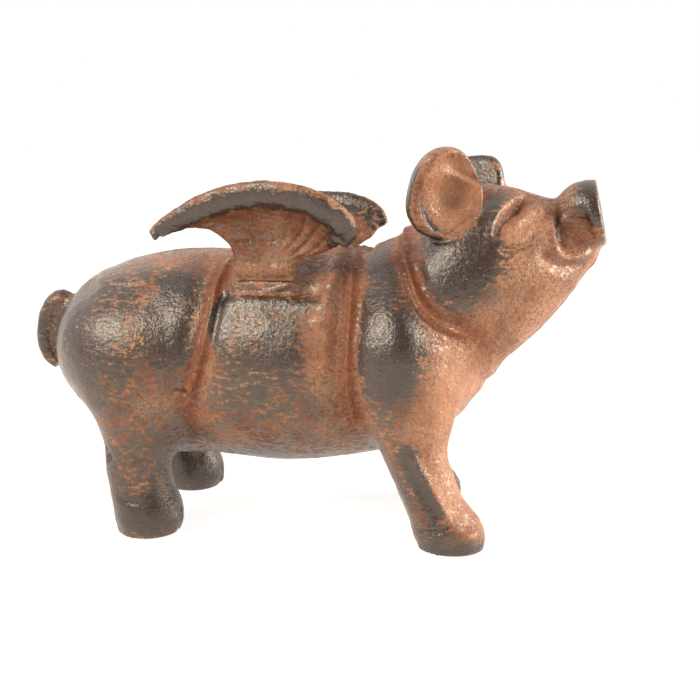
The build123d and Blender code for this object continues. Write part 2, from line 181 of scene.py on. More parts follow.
@dataclass(frozen=True)
class Swell:
    """An oval swelling or dent, or an oval patch of paint."""

    at: Pair
    size: Pair
    height: float
    turn: float = 0.0
    firm: float = 1.0

    def read(self, x: Array, z: Array) -> Array:
        """Give its height at every point of the side view."""
        c, s = math.cos(math.radians(self.turn)), math.sin(math.radians(self.turn))
        dx, dz = x - self.at[0], z - self.at[1]
        along = (dx * c + dz * s) / self.size[0]
        over = (dz * c - dx * s) / self.size[1]
        return self.height * np.exp(-((along**2 + over**2) ** self.firm))


@dataclass(frozen=True)
class Crease:
    """A line pressed or drawn on the surface.

    The lobes are (offset, height, width) across the line, positive to its left as it runs.
    """

    points: tuple[Pair, ...]
    lobes: Rows
    fade: float = 2.0
    parts: int = 5

    def measure(self, x: Array, z: Array) -> tuple[Array, Array]:
        """Give the signed distance across the line and how far along it each point is."""
        rows = np.array(self.points, float)
        knots = np.arange(len(rows))
        t = np.linspace(0, len(rows) - 1, (len(rows) - 1) * self.parts + 1)
        line = np.stack([through(t, knots, rows[:, 0]), through(t, knots, rows[:, 1])], 1)
        best = np.full(len(x), FAR)
        across = np.zeros(len(x))
        along = np.zeros(len(x))
        run = 0.0
        for a, b in zip(line[:-1], line[1:]):
            d = b - a
            length = float(np.hypot(*d))
            share = np.clip(((x - a[0]) * d[0] + (z - a[1]) * d[1]) / length**2, 0, 1)
            away = np.hypot(x - a[0] - share * d[0], z - a[1] - share * d[1])
            side = np.sign(d[0] * (z - a[1]) - d[1] * (x - a[0]))
            near = away < best
            best = np.where(near, away, best)
            across = np.where(near, away * side, across)
            along = np.where(near, run + share * length, along)
            run += length
        return across, np.minimum(along, run - along)

    def read(self, x: Array, z: Array) -> Array:
        """Give its height at every point of the side view."""
        across, inside = self.measure(x, z)
        total = np.zeros(len(x))
        for offset, height, width in self.lobes:
            total += height * np.exp(-(((across - offset) / width) ** 2))
        return total * ease(inside, 0, self.fade)


Mark = Swell | Crease


def swells(*rows: tuple[float, ...]) -> tuple[Swell, ...]:
    """Make swells from rows of (forward, up, half length, half height, amount, turn, firmness)."""
    return tuple(Swell((x, z), (long, high), *rest) for x, z, long, high, *rest in rows)


def summed(marks: Sequence[Mark], x: Array, z: Array) -> Array:
    """Add up the heights of several marks."""
    total = np.zeros(len(x))
    for mark in marks:
        total += mark.read(x, z)
    return total


# Forms that the castings are built up from


def outside(parts: Sequence[tuple[Array, Array | float]]) -> Array:
    """Give roughly how far points lie outside an ellipse or an ellipsoid.

    Args:
        parts: Distance from the centre, and half size, along each of its axes.

    Returns:
        The distance of each point, less than zero inside.
    """
    reach = np.sqrt(sum((d / size) ** 2 for d, size in parts))
    slope = np.sqrt(sum((d / size**2) ** 2 for d, size in parts)) + 1e-9
    return reach * (reach - 1) / slope


def oval(q: Array, size: Point, depth: float) -> Array:
    """Give the field of an ellipsoid round the origin, rising by a depth over each half size."""
    return (np.linalg.norm(q / np.array(size), axis=1) - 1) * depth


def rounded(sides: Sequence[Array], radius: float) -> Array:
    """Join the distances past a form's sides into its field, with edges of a radius."""
    q = np.stack(sides, 1)
    return np.linalg.norm(q.clip(0), axis=1) + np.minimum(q.max(1), 0) - radius


def seat_directions() -> tuple[Array, Array]:
    """Give the directions out of a wing's seat, and across it down the body's side."""
    a = math.radians(SEAT_ANGLE)
    return np.array([0, math.sin(a), math.cos(a)]), np.array([0, math.cos(a), -math.sin(a)])


@dataclass(frozen=True)
class Loft:
    """A form along a straight axis, with an ellipse at each station.

    Each station is (along the axis, rise of the centre, centre outward, half size along the
    rise, half size outward).
    """

    origin: Point
    tilt: float
    stations: Rows
    cap: float

    def frame(self) -> tuple[Array, Array]:
        """Give the directions along the axis and of the rise."""
        a = math.radians(self.tilt)
        return np.array([math.cos(a), 0, math.sin(a)]), np.array([-math.sin(a), 0, math.cos(a)])

    def field(self, p: Array) -> Array:
        """Give roughly how far each point lies outside the form."""
        axis, rise = self.frame()
        q = p - np.array(self.origin)
        along, up, out = q @ axis, q @ rise, q[:, 1]
        table = np.array(self.stations).T
        centre, middle, half_up, half_out = (through(along, table[0], row) for row in table[1:])
        past = np.maximum(table[0][0] - along, along - table[0][-1]).clip(0)
        across = ((up - centre, half_up), (out - middle, half_out))
        return np.maximum(outside(across), outside((*across, (past, self.cap))))

    def block(self, bm: BMesh) -> None:
        """Rough the form out of rings bridged to each other."""
        axis, rise = self.frame()
        matrices = []
        for along, centre, middle, half_up, half_out in self.stations:
            place = np.array(self.origin) + axis * along + rise * centre + np.array([0, middle, 0])
            columns = [np.array([0, half_out, 0]), rise * half_up, axis, place]
            matrices.append(Matrix(np.array(columns).T.tolist()).to_4x4())
        rings(bm, matrices)


def rings(bm: BMesh, matrices: Sequence[Matrix], segments: int = 32) -> None:
    """Bridge a row of circles into a closed form.

    Args:
        bm: Mesh that gets the form.
        matrices: Place and size of each circle of radius 1.
        segments: Corners of each circle.
    """
    before = None
    for number, matrix in enumerate(matrices):
        end = number in (0, len(matrices) - 1)
        made = bmesh.ops.create_circle(bm, cap_ends=end, radius=1, segments=segments, matrix=matrix)
        edges = list({e for v in made["verts"] for e in v.link_edges})
        if before:
            bmesh.ops.bridge_loops(bm, edges=before + edges)
        before = edges


def placed(columns: Sequence[Sequence[float]], at: Sequence[float]) -> Matrix:
    """Make a matrix from three directions and a place."""
    return Matrix(np.array([*columns, at]).T.tolist()).to_4x4()


def shown(name: str, data: bpy.types.ID) -> bpy.types.Object:
    """Put a mesh, a lamp or a camera into the scene."""
    made = bpy.data.objects.new(name, data)
    bpy.context.scene.collection.objects.link(made)
    return made


def cut_off(bm: BMesh, y: float, touch: float = 0.0) -> list[BMEdge]:
    """Cut off what lies inward of a plane across Y.

    Args:
        bm: Mesh that is cut.
        y: Where the plane is.
        touch: Distance at which a vertex counts as on the plane.

    Returns:
        The edges along the cut.
    """
    cut = bmesh.ops.bisect_plane(
        bm,
        geom=bm.verts[:] + bm.edges[:] + bm.faces[:],
        dist=touch,
        plane_co=(0, y, 0),
        plane_no=(0, -1, 0),
        clear_outer=True,
    )
    return [e for e in cut["geom_cut"] if isinstance(e, BMEdge)]


def remeshed(bm: BMesh, voxel: float) -> Mesh:
    """Melt a rough form's overlapping parts into one even skin.

    Args:
        bm: The rough form, freed here.
        voxel: Size of the new faces in millimetres.

    Returns:
        The new mesh, still in millimetres.
    """
    bmesh.ops.recalc_face_normals(bm, faces=bm.faces)
    rough = bpy.data.meshes.new("rough_form")
    bm.to_mesh(rough)
    bm.free()
    holder = shown("rough_form", rough)
    melt = holder.modifiers.new("melt", "REMESH")
    melt.mode = "VOXEL"
    melt.voxel_size = voxel
    graph = bpy.context.evaluated_depsgraph_get()
    mesh = bpy.data.meshes.new_from_object(holder.evaluated_get(graph))
    bpy.data.objects.remove(holder)
    bpy.data.meshes.remove(rough)
    return mesh


def numbers(rows: bpy.types.bpy_prop_collection, name: str, width: int, kind: type) -> Array:
    """Read one property of a mesh's vertices, edges or normals."""
    found = np.empty(len(rows) * width, kind)
    rows.foreach_get(name, found)
    return found.reshape(-1, width)


def corners(mesh: Mesh) -> Array:
    """Read a mesh's vertices."""
    return numbers(mesh.vertices, "co", 3, np.float32).astype(float)


def links(mesh: Mesh) -> Array:
    """Read the two ends of each of a mesh's edges."""
    return numbers(mesh.edges, "vertices", 2, np.int32)


def directions(mesh: Mesh) -> Array:
    """Read the way that a mesh's surface faces at each vertex."""
    return numbers(mesh.vertex_normals, "vector", 3, np.float32).astype(float)


def put(mesh: Mesh, co: Array) -> None:
    """Write a mesh's vertices back."""
    mesh.vertices.foreach_set("co", co.astype(np.float32).ravel())
    mesh.update()


def spread(values: Array, ends: Array, rounds: int, share: float = 0.5) -> Array:
    """Even out a value, or the vertices themselves, over each vertex's neighbours."""
    a, b = ends.T
    flat = values.ndim == 1
    v = values[:, None] if flat else values
    count = np.bincount(ends.ravel(), minlength=len(v))[:, None].clip(1)
    for _ in range(rounds):
        sums = [
            np.bincount(a, v[b, k], len(v)) + np.bincount(b, v[a, k], len(v))
            for k in range(v.shape[1])
        ]
        total = np.stack(sums, 1)
        v = v + share * (total / count - v)
    return v[:, 0] if flat else v


def slopes(shape: Field, p: Array, here: Array, step: float = 0.01) -> Array:
    """Find the slope of a field at every point."""
    return np.stack([(shape(p + step * np.eye(3)[k]) - here) / step for k in range(3)], 1)


def settled(shape: Field, p: Array, rounds: int, reach: float = 1.2) -> tuple[Array, Array]:
    """Press a rough skin onto the surface of a field.

    Args:
        shape: The field, zero on the surface.
        p: Vertices of the rough skin.
        rounds: How many times they are moved.
        reach: Longest move of one round.

    Returns:
        The moved vertices and the way the surface faces there.
    """
    for _ in range(rounds):
        here = shape(p)
        slope = slopes(shape, p, here)
        steep = (slope**2).sum(1).clip(0.05)
        p = p - slope * np.clip(here / steep, -reach, reach)[:, None]
    slope = slopes(shape, p, shape(p))
    return p, slope / np.linalg.norm(slope, axis=1).clip(1e-6)[:, None]


def bend(mesh: Mesh, rounds: int) -> Array:
    """Measure how a surface bends, above zero on ridges and below it in hollows."""
    co, n, ends = corners(mesh), directions(mesh), links(mesh)
    a, b = ends.T
    d = co[b] - co[a]
    square = (d**2).sum(1).clip(1e-9)
    from_a, from_b = -(d * n[a]).sum(1) / square, (d * n[b]).sum(1) / square
    total = np.bincount(a, from_a, len(co)) + np.bincount(b, from_b, len(co))
    return spread(total / np.bincount(ends.ravel(), minlength=len(co)).clip(1), ends, rounds)


# The forms of one half casting, and its folds and marks from the side

# Barrel: forward, height, half height, half width
TORSO = (
    (-55.0, 37.9, 5.0, 5.0),
    (-53.0, 37.9, 8.3, 10.3),
    (-49.0, 38.55, 13.55, 15.6),
    (-42.0, 37.75, 18.25, 20.0),
    (-32.0, 36.8, 21.9, 22.3),
    (-18.0, 37.2, 22.6, 22.3),
    (0.0, 36.8, 23.0, 22.3),
    (14.0, 37.9, 21.9, 21.8),
    (24.0, 39.1, 20.2, 21.0),
    (32.0, 41.2, 17.5, 18.0),
    (37.0, 41.9, 12.6, 12.5),
    (39.0, 42.0, 7.0, 7.0),
)
# Head: along its axis, rise, half height, half width
HEAD = (
    (-8.0, -3.0, 12.5, 12.5),
    (0.0, -1.5, 18.0, 18.2),
    (7.7, 0.4, 17.5, 18.0),
    (15.0, 1.9, 16.8, 17.2),
    (23.0, 3.2, 16.6, 16.2),
    (30.4, 3.0, 14.3, 14.4),
    (35.1, 2.1, 11.7, 11.6),
    (38.2, 1.1, 9.2, 8.5),
    (41.3, 0.0, 7.1, 6.3),
    (44.4, 0.2, 6.2, 5.6),
    (46.4, 0.2, 5.8, 5.4),
)
# Legs: height, forward, outward, half length, half depth, share of the setback
HIND_LEG = (
    (0.0, -31.2, 15.0, 6.4, 6.0, 1.0),
    (2.5, -31.3, 15.0, 7.3, 6.9, 1.0),
    (5.9, -31.5, 15.0, 7.5, 7.0, 1.0),
    (9.8, -32.5, 15.0, 7.1, 6.6, 0.95),
    (14.7, -33.2, 14.8, 7.1, 6.8, 0.85),
    (19.5, -32.2, 14.0, 8.3, 7.9, 0.6),
    (25.4, -31.8, 12.5, 10.9, 10.4, 0.3),
    (33.2, -32.3, 10.5, 15.2, 13.2, 0.1),
    (41.0, -33.1, 9.5, 16.8, 14.1, 0.0),
    (48.0, -33.3, 8.0, 14.6, 12.3, 0.0),
    (53.4, -32.8, 6.0, 9.0, 8.0, 0.0),
)
FRONT_LEG = (
    (0.0, 34.4, 13.0, 6.6, 5.6, 1.0),
    (2.6, 33.9, 13.0, 7.3, 6.4, 1.0),
    (5.8, 32.9, 13.0, 7.2, 6.6, 1.0),
    (9.8, 30.7, 13.2, 6.35, 6.3, 0.97),
    (14.6, 28.8, 13.3, 6.3, 6.3, 0.87),
    (19.5, 27.0, 13.3, 6.6, 7.0, 0.68),
    (26.4, 25.8, 12.0, 9.0, 9.5, 0.35),
    (35.2, 25.5, 10.0, 11.5, 12.8, 0.12),
    (43.9, 25.5, 9.0, 11.5, 13.5, 0.0),
    (51.8, 25.0, 7.0, 8.0, 10.5, 0.0),
    (55.7, 24.5, 5.0, 5.0, 7.0, 0.0),
)
FOLD = ((-3.2, -0.9, 2.2), (-1.4, -0.9, 0.8), (0.0, 0.45, 0.5), (1.5, -0.7, 1.1))
REAR_FOLD = Crease(
    (
        (-11.6, 60.8), (-12.7, 57.4), (-13.3, 53.9), (-13.1, 49.9),
        (-13.9, 43.9), (-15.7, 37.7), (-17.6, 32.0), (-18.6, 27.0),
    ),
    FOLD,
    6.0,
)
FRONT_FOLD = Crease(
    (
        (13.4, 61.5), (14.1, 58.0), (15.0, 53.5), (15.4, 48.0),
        (15.4, 42.0), (15.3, 36.0), (15.5, 30.5), (16.4, 25.0),
    ),
    ((-2.2, -0.8, 1.6), (-0.9, -0.5, 0.5), (0.0, 0.35, 0.45), (1.8, -0.6, 1.3)),
    3.0,
)
NECK_FOLD = Crease(
    (
        (22.2, 66.6), (23.9, 62.6), (25.5, 58.8), (27.2, 55.0),
        (29.3, 51.3), (31.8, 48.4), (35.0, 46.0), (39.0, 43.8),
    ),
    ((-2.0, -0.7, 1.6), (-0.9, -0.5, 0.5), (0.0, 0.32, 0.45), (1.7, -1.1, 1.4)),
    4.0,
)
CHIN = Crease(
    ((62.0, 60.6), (60.1, 56.0), (54.7, 48.2), (48.4, 41.3), (42.7, 36.1), (36.5, 27.5)),
    ((0, 1.0, 2.8),),
    4.0,
)
BODY_MARKS: tuple[Mark, ...] = (
    REAR_FOLD,
    FRONT_FOLD,
    NECK_FOLD,
    # The upper edge of the barrel's swelling, under the wing
    Crease(
        ((-11.6, 49.6), (-10.6, 51.3), (-6.0, 52.1), (0.1, 52.0), (6.2, 51.8), (9.8, 51.3)),
        ((-1.0, 0.35, 1.2), (1.0, -0.6, 1.1)),
    ),
    Crease(((9.6, 62.1), (11.1, 59.2), (11.4, 55.7), (10.9, 51.8), (9.9, 45.8)), ((0, 0.6, 1.7),)),
    Crease(((9.2, 64.0), (10.6, 60.6), (11.3, 56.6), (11.0, 53.0)), ((0, 1.0, 2.0),)),
    Crease(((-3.5, 52.9), (0.0, 53.4), (3.6, 54.8)), ((0, 0.45, 0.5), (-0.8, -0.25, 0.6)), 1.2),
    Swell((9.6, 44.0), (3.4, 5.2), -0.45),
    Swell((-2.5, 41.0), (8.5, 9.5), 0.5, firm=1.6),
    Swell((-2.0, 26.0), (10.0, 5.0), 0.3),
    # Haunch, with the short crease at its front and the bump at its back
    Swell((-35.5, 42.0), (12.5, 12.0), 0.6, firm=1.5),
    Crease(((-22.0, 33.2), (-20.0, 32.7), (-16.6, 31.9)), ((0, -0.5, 0.5), (1.0, 0.25, 0.7)), 1.2),
    Swell((-50.6, 25.6), (1.0, 1.3), 0.7),
    Crease(((-27.0, 27.5), (-22.5, 30.0), (-18.0, 29.6)), ((0, 0.35, 1.6),)),
    Swell((-20.0, 24.5), (2.6, 6.0), -0.9, -5),
    # Pits left by the sand
    Swell((14.2, 60.5), (0.55, 0.5), -0.7, firm=2),
    Swell((16.2, 60.3), (0.7, 0.5), -0.7, firm=2),
    Swell((-0.7, 58.7), (0.35, 0.35), -0.5, firm=2),
    Swell((-4.0, 58.1), (0.3, 0.3), -0.4, firm=2),
    Swell((-37.6, 17.6), (1.0, 0.8), -1.0, 30, 2),
    Swell((-38.2, 19.4), (0.6, 0.5), -0.5, firm=2),
    Swell((-29.6, 10.2), (0.7, 0.45), -0.5, firm=2),
    # Shoulder
    Swell((23.2, 43.0), (5.8, 10.5), 1.0, firm=2.0),
    Crease(
        ((27.0, 22.5), (28.7, 19.0), (31.6, 13.3), (34.8, 7.6)),
        ((0.0, 0.6, 0.9), (-1.8, -0.35, 1.6), (2.0, -0.3, 1.6)),
    ),
    # Feet: ankle crease, toe and the lip round the sole
    Crease(((28.0, 5.9), (30.0, 5.3), (32.7, 5.6), (36.0, 7.0)), ((0, -0.6, 0.5), (1.1, 0.3, 0.7))),
    Crease(((36.4, 6.2), (38.5, 5.6), (40.6, 4.4)), ((0, -0.6, 0.5), (-1.1, 0.4, 0.8))),
    Swell((38.9, 4.4), (1.9, 1.9), 0.6, firm=1.5),
    Crease(((27.0, 1.1), (34.0, 1.0), (41.0, 1.1)), ((-0.4, 0.3, 0.7),)),
    Crease(((-39.6, 1.2), (-32.0, 1.1), (-23.6, 1.3)), ((-0.3, 0.35, 0.8),)),
    Swell((-23.2, 3.2), (1.6, 1.5), 0.5, firm=1.5),
    Crease(((-36.6, 9.6), (-33.0, 8.6), (-29.6, 8.8)), ((0, -0.35, 0.6),)),
)
HEAD_MARKS: tuple[Mark, ...] = (
    # The eye: a deep crescent over a ridge of a lid, with a soft fold under it
    Crease(
        ((42.9, 62.9), (43.0, 65.0), (43.7, 67.0), (45.0, 68.7), (46.8, 69.9), (48.6, 70.2)),
        ((0.8, 0.3, 0.6), (-0.6, -1.2, 0.8), (-1.8, -0.9, 1.1)),
        1.5,
    ),
    Swell((46.8, 68.3), (2.6, 1.2), -0.8, 40, 1.4),
    Crease(
        ((43.9, 63.4), (45.6, 64.4), (47.0, 65.8), (48.3, 66.9), (50.0, 67.6), (51.6, 67.8)),
        ((0, 0.5, 0.6),),
        0.8,
    ),
    Crease(
        ((43.8, 62.6), (46.2, 62.6), (48.4, 63.3), (50.2, 64.3)),
        ((0.4, 0.2, 0.7), (-0.9, -0.35, 0.9)),
        0.8,
    ),
    Swell((50.6, 66.4), (2.2, 1.2), -0.3, 20, 1.4),
    Crease(((50.0, 66.9), (51.8, 67.6), (54.4, 68.6)), ((0, 0.25, 0.9), (-1.4, -0.35, 0.8)), 1.0),
    # Brow
    Swell((41.5, 73.6), (0.9, 0.35), -0.5, -15),
    Swell((43.7, 73.1), (0.8, 0.35), -0.5, -15),
    Swell((45.0, 71.9), (3.0, 0.8), 0.25, -8),
    # Cheek and the ridge that bounds the side of the mouth
    Swell((36.4, 55.5), (8.2, 7.2), 0.9, firm=2.2),
    Swell((52.6, 63.6), (1.6, 3.6), 0.55, 18, 1.2),
    # Side of the mouth: a hollow behind the snout's disc, with its lower lip
    Swell((57.9, 63.2), (3.1, 3.4), -1.2, 10, 2.4),
    Crease(
        ((56.1, 68.2), (54.9, 66.6), (54.7, 64.2), (55.4, 61.9), (57.0, 60.4)),
        ((0, -0.7, 0.6), (-1.5, 0.4, 0.8)),
    ),
    Crease(
        ((52.8, 61.9), (54.0, 59.8), (56.0, 58.7), (58.3, 58.9), (60.8, 60.2)),
        ((0, 0.8, 0.8), (-1.7, -0.5, 0.9)),
    ),
    Swell((59.3, 70.2), (1.9, 2.0), 0.3, 20),
    # Groove from the ear's root toward the brow
    Crease(((34.8, 64.0), (37.5, 67.2), (40.3, 69.6), (43.0, 71.2)), ((0, -0.4, 1.0),), 2.0),
)

# Where the black top coat was left on, from the side
BLACK_PATCHES = swells(
    # Haunch and hind leg
    (-38.0, 42.0, 13.0, 13.5, 0.34, 0, 2),
    (-43.0, 42.0, 5.0, 8.0, 0.2),
    (-21.5, 46.5, 4.2, 8.5, 0.7, 5, 1.4),
    (-22.5, 54.2, 5.5, 1.3, 0.6, -8),
    (-47.5, 34.0, 4.0, 9.0, 0.25, 20),
    (-29.0, 44.0, 2.5, 5.0, -0.22, -25),
    (-26.0, 52.0, 3.5, 3.0, -0.2),
    (-28.0, 32.0, 9.0, 4.0, -0.12),
    (-30.5, 5.6, 9.5, 4.6, 0.7, 0, 2),
    (-29.5, 7.5, 1.2, 3.6, -0.6, 15),
    (-37.5, 15.0, 2.0, 5.5, 0.45),
    (-30.0, 14.0, 8.0, 9.0, 0.16, 0, 1.6),
    (-25.0, 11.5, 1.6, 1.6, 0.4),
    # Back and barrel
    # The top of the back is kept lighter: painted light from above
    (-18.0, 57.5, 16.0, 2.6, -0.16),
    (8.0, 61.0, 8.0, 3.2, -0.3),
    (-11.0, 47.6, 2.3, 4.4, 1.7, 0, 1.6),
    (-1.0, 50.7, 10.0, 1.2, 0.5, 0, 1.3),
    (0.5, 42.5, 7.0, 6.0, 0.4, 0, 1.4),
    (-6.0, 34.0, 4.5, 7.0, 0.12),
    (0.0, 31.5, 9.5, 5.0, 0.12, 0, 1.4),
    (-4.0, 17.0, 6.0, 2.0, 0.4),
    (9.6, 44.0, 3.2, 7.0, -0.45, 0, 1.6),
    (12.0, 30.0, 3.4, 8.0, -0.15),
    (-4.0, 24.0, 9.0, 3.5, -0.15),
    (11.0, 57.0, 4.0, 5.0, -0.15),
    # Shoulder, chest and front leg
    (22.6, 42.5, 6.0, 11.5, 0.58, 8, 2),
    (25.5, 41.0, 5.0, 7.0, 0.35),
    (26.8, 45.5, 2.6, 4.0, 0.25),
    (19.0, 57.5, 2.4, 2.6, 0.35),
    # Less black on the chest: painted light
    (34.5, 36.0, 6.0, 15.0, -0.3, -25, 2),
    (27.4, 20.8, 1.8, 2.6, 0.7, 25, 1.4),
    (29.6, 14.2, 1.7, 8.0, 0.75, 27, 1.4),
    (31.5, 1.0, 9.0, 1.2, 0.7),
    (25.0, 12.0, 2.6, 7.0, 0.25, 20),
    # Less black down the front of the front leg: painted light
    (35.5, 13.0, 3.4, 10.0, -0.5, 27, 2),
    (31.0, 3.6, 3.0, 3.0, 0.4),
    (38.0, 2.2, 3.0, 1.2, 0.4),
    # Cheek and head
    (36.4, 56.6, 7.6, 6.4, 0.55, 40, 2),
    (40.0, 60.5, 3.0, 5.0, 0.4, -25),
    (31.8, 61.4, 2.6, 3.4, 0.5),
    (41.5, 67.0, 1.6, 4.0, 0.45, -30),
    (52.0, 55.0, 8.0, 8.0, -0.16, 0, 2),
    (45.0, 48.0, 7.0, 5.0, -0.1, 45),
    (48.2, 66.8, 5.2, 3.6, -0.7, 30, 2),
    (56.0, 62.5, 4.6, 4.6, -0.22, 0, 2),
    (60.4, 69.0, 2.0, 3.3, 1.6, 15, 1.6),
    (63.0, 67.0, 0.9, 6.5, 0.5, 8, 1.5),
    (54.4, 64.2, 0.6, 3.0, 0.4, 8),
    (33.0, 62.6, 2.8, 1.0, 0.8, -30),
    (42.5, 74.0, 5.0, 3.2, -0.5),
    (47.5, 42.5, 10.0, 3.6, -0.35, 42),
)
# Painted shade: darker in the eye's recess, the mouth, the folds, the groove under the ear, the
# barrel's edge under the wing and the belly
SHADE_PATCHES = swells(
    (47.2, 68.9, 2.5, 1.0, 0.9, 35),
    (55.2, 64.0, 0.9, 3.4, 0.9, 8),
    (58.5, 66.2, 2.2, 1.0, 0.8, -20),
    (-20.0, 26.0, 2.0, 7.0, 0.7, -8),
    (33.0, 62.8, 3.0, 0.9, 0.8, -30),
    (0.0, 50.6, 9.0, 0.8, 0.6),
    (0.0, 15.0, 18.0, 2.6, 0.6),
    (12.8, 45.0, 1.2, 14.0, 0.5),
)
# Where the red primer is made bright: rubbed nearly bare, and painted light on the chest, the jaw,
# the front of the front leg and the top of the back
BARE_AND_LIT_PATCHES = swells(
    (9.4, 43.8, 2.8, 5.0, 0.8),
    (10.5, 55.0, 2.6, 5.5, 0.5),
    (34.0, 32.0, 6.5, 12.0, 1.0, -35),
    (35.0, 12.0, 3.0, 10.0, 0.6, 20),
    (50.0, 52.0, 10.0, 5.0, 0.25, 55),
    (48.0, 65.5, 3.5, 3.0, 0.6, 30),
    (33.5, 72.3, 5.5, 6.8, 0.8, 0, 2),
    (-4.0, 57.0, 9.0, 4.0, 0.4),
)


@dataclass
class HalfCasting:
    """One half of the hollow body, with its legs, ear and the pad for its wing.

    The setbacks, the ear's drop and its advance are how far the left half's stand from the
    right's. The ear's power squares its outline, its black is what its rim has more of, and the
    chin's lip is how proud the joint's edge stands. The cup and the opening are the ear's
    hollows. A blend is the length over which a form runs into the rest, and the skin's rows are
    (height, length) of its unevenness.
    """

    side: Side
    voxel: float
    seed: int
    hind_setback: float = 0.0
    front_setback: float = 0.0
    ear_drop: float = 0.0
    ear_advance: float = 0.0
    wing_setback: float = 0.0
    ear_at: Point = (33.5, 14.6, 71.7)
    ear_turn: float = 22.0
    ear_lean: float = 12.0
    ear_half: Pair = (7.1, 8.65)
    ear_flare: float = 0.018
    ear_half_thickness: float = 2.2
    ear_edge: float = 1.5
    ear_rise: float = 7.8
    ear_power: float = 2.3
    ear_black: float = 0.0
    chin_lip: float = 0.85
    ear_reach: Point = (7.3, 8.9, 4.0)
    cup_at: Point = (1.6, 0.2, 2.2)
    cup_half: Point = (6.3, 7.7, 3.3)
    opening_at: Point = (3.6, -4.4, 2.8)
    opening_half: Point = (4.4, 4.6, 2.6)
    snout_at: Point = (62.15, 0, 66.9)
    snout_tilt: float = 11.0
    snout_half: Pair = (6.9, 6.4)
    snout_half_thickness: float = 1.2
    snout_edge: float = 0.6
    nostril_at: Point = (2.8, 0, 0.4)
    nostril_half: Point = (1.4, 2.0, 2.4)
    nose_at: Point = (58.9, 0, 68.3)
    nose_half: Point = (4.6, 6.1, 4.5)
    seat_radius: float = 23.2
    pad_half: Point = (4.6, 4.2, 0.8)
    pad_sink: float = 3.0
    pad_edge: float = 2.2
    cleft_half: Point = (2.2, 0.6, 3.0)
    cleft_height: float = 2.2
    screw_at: Pair = (-2.0, 34.7)
    screw_recess: Pair = (4.2, 18.2)
    overrun: float = 1.2
    seam_depth: float = 0.14
    leg_cap: float = 1.5
    leg_blend: float = 2.6
    head_blend: float = 3.4
    nose_blend: float = 1.6
    snout_blend: float = 0.8
    ear_blend: float = 1.1
    pad_blend: float = 3.0
    skin: Rows = ((0.16, 7.0), (0.07, 2.4), (0.035, 1.1))
    loose: list[Loft] = field(default_factory=list)

    def torso(self) -> Loft:
        """Barrel of the body from rump to chest."""
        return Loft((0, 0, 0), 0, tuple((x, z, 0, h, w) for x, z, h, w in TORSO), 0.8)

    def head(self) -> Loft:
        """Neck, cheeks and muzzle, along the axis from the shoulders to the snout."""
        return Loft((22.0, 0, 41.7), 32.0, tuple((s, t, 0, h, w) for s, t, h, w in HEAD), 2.0)

    def hind_leg(self) -> Loft:
        """Hind leg from the sole to the top of the haunch."""
        return self.leg(HIND_LEG, self.hind_setback)

    def front_leg(self) -> Loft:
        """Front leg from the sole to the top of the shoulder."""
        return self.leg(FRONT_LEG, self.front_setback)

    def leg(self, rows: Rows, setback: float) -> Loft:
        """Stand a leg on the floor.

        Args:
            rows: Height, forward, outward, half length, half depth and share of the setback.
            setback: How far back the leg's foot stands.

        Returns:
            The leg's form.
        """
        stations = tuple((z, setback * share - x, y, h, w) for z, x, y, h, w, share in rows)
        return Loft((0, 0, 0), 90, stations, self.leg_cap)

    def ear_frame(self) -> tuple[Array, Array]:
        """Give the ear's centre and the directions along its width, length and thickness."""
        turn, lean = math.radians(self.ear_turn), math.radians(self.ear_lean)
        flat = np.array([math.cos(turn), -math.sin(turn), 0])
        face = np.array(
            [math.sin(turn), math.cos(turn) * math.cos(lean), -math.sin(lean) * math.cos(turn)]
        )
        centre = np.array(self.ear_at) + np.array([self.ear_advance, 0, -self.ear_drop])
        return centre, np.stack([flat, np.cross(face, flat), face])

    def ear(self, p: Array) -> Array:
        """Field of the cupped ear, oval on the right half and squarer on the left."""
        centre, frame = self.ear_frame()
        q = (p - centre) @ frame.T
        flare = 1 + self.ear_flare * q[:, 1]
        power = self.ear_power
        half_width, half_length = self.ear_half
        wide, long = np.abs(q[:, 0] / flare / half_width), np.abs(q[:, 1] / half_length)
        reach = (wide**power + long**power) ** (1 / power)
        rim = (reach - 1) * self.ear_rise + self.ear_edge
        thick = np.abs(q[:, 2] + 0.1) - self.ear_half_thickness + self.ear_edge
        in_cup = q - np.array(self.cup_at)
        in_cup[:, 0] /= flare
        cup = oval(in_cup, self.cup_half, 3.0)
        opening = oval(q - np.array(self.opening_at), self.opening_half, 2.4)
        return carve(carve(rounded((rim, thick), self.ear_edge), cup, 0.6), opening, 1.6)

    def snout_frame(self) -> tuple[Array, Array]:
        """Give the centre of the snout's face and its directions outward, up and forward."""
        a = math.radians(self.snout_tilt)
        frame = [[0, 1, 0], [-math.sin(a), 0, math.cos(a)], [math.cos(a), 0, math.sin(a)]]
        return np.array(self.snout_at), np.array(frame)

    def snout(self, p: Array) -> Array:
        """Field of the snout's disc with its nostrils."""
        centre, frame = self.snout_frame()
        q = (p - centre) @ frame.T
        half_width, half_height = self.snout_half
        reach = np.sqrt((q[:, 0] / half_width) ** 2 + (q[:, 1] / half_height) ** 2)
        rim = (reach - 1) * half_height + self.snout_edge
        thick = np.abs(q[:, 2] + 0.9) - self.snout_half_thickness + self.snout_edge
        nostril = oval(q - np.array(self.nostril_at), self.nostril_half, 1.5)
        return carve(rounded((rim, thick), self.snout_edge), nostril, 0.4)

    def nose(self, p: Array) -> Array:
        """Field of the nose's swelling, kept behind the face of the snout."""
        centre, frame = self.snout_frame()
        swelling = oval(p - np.array(self.nose_at), self.nose_half, self.nose_half[0])
        return np.maximum(swelling, (p - centre) @ frame[2] + 1.3)

    def seat(self) -> Array:
        """Give the point of the body's axis that the wing's seat lies round."""
        return np.array([FOOT_FORWARD - self.wing_setback, 0, AXIS_HEIGHT])

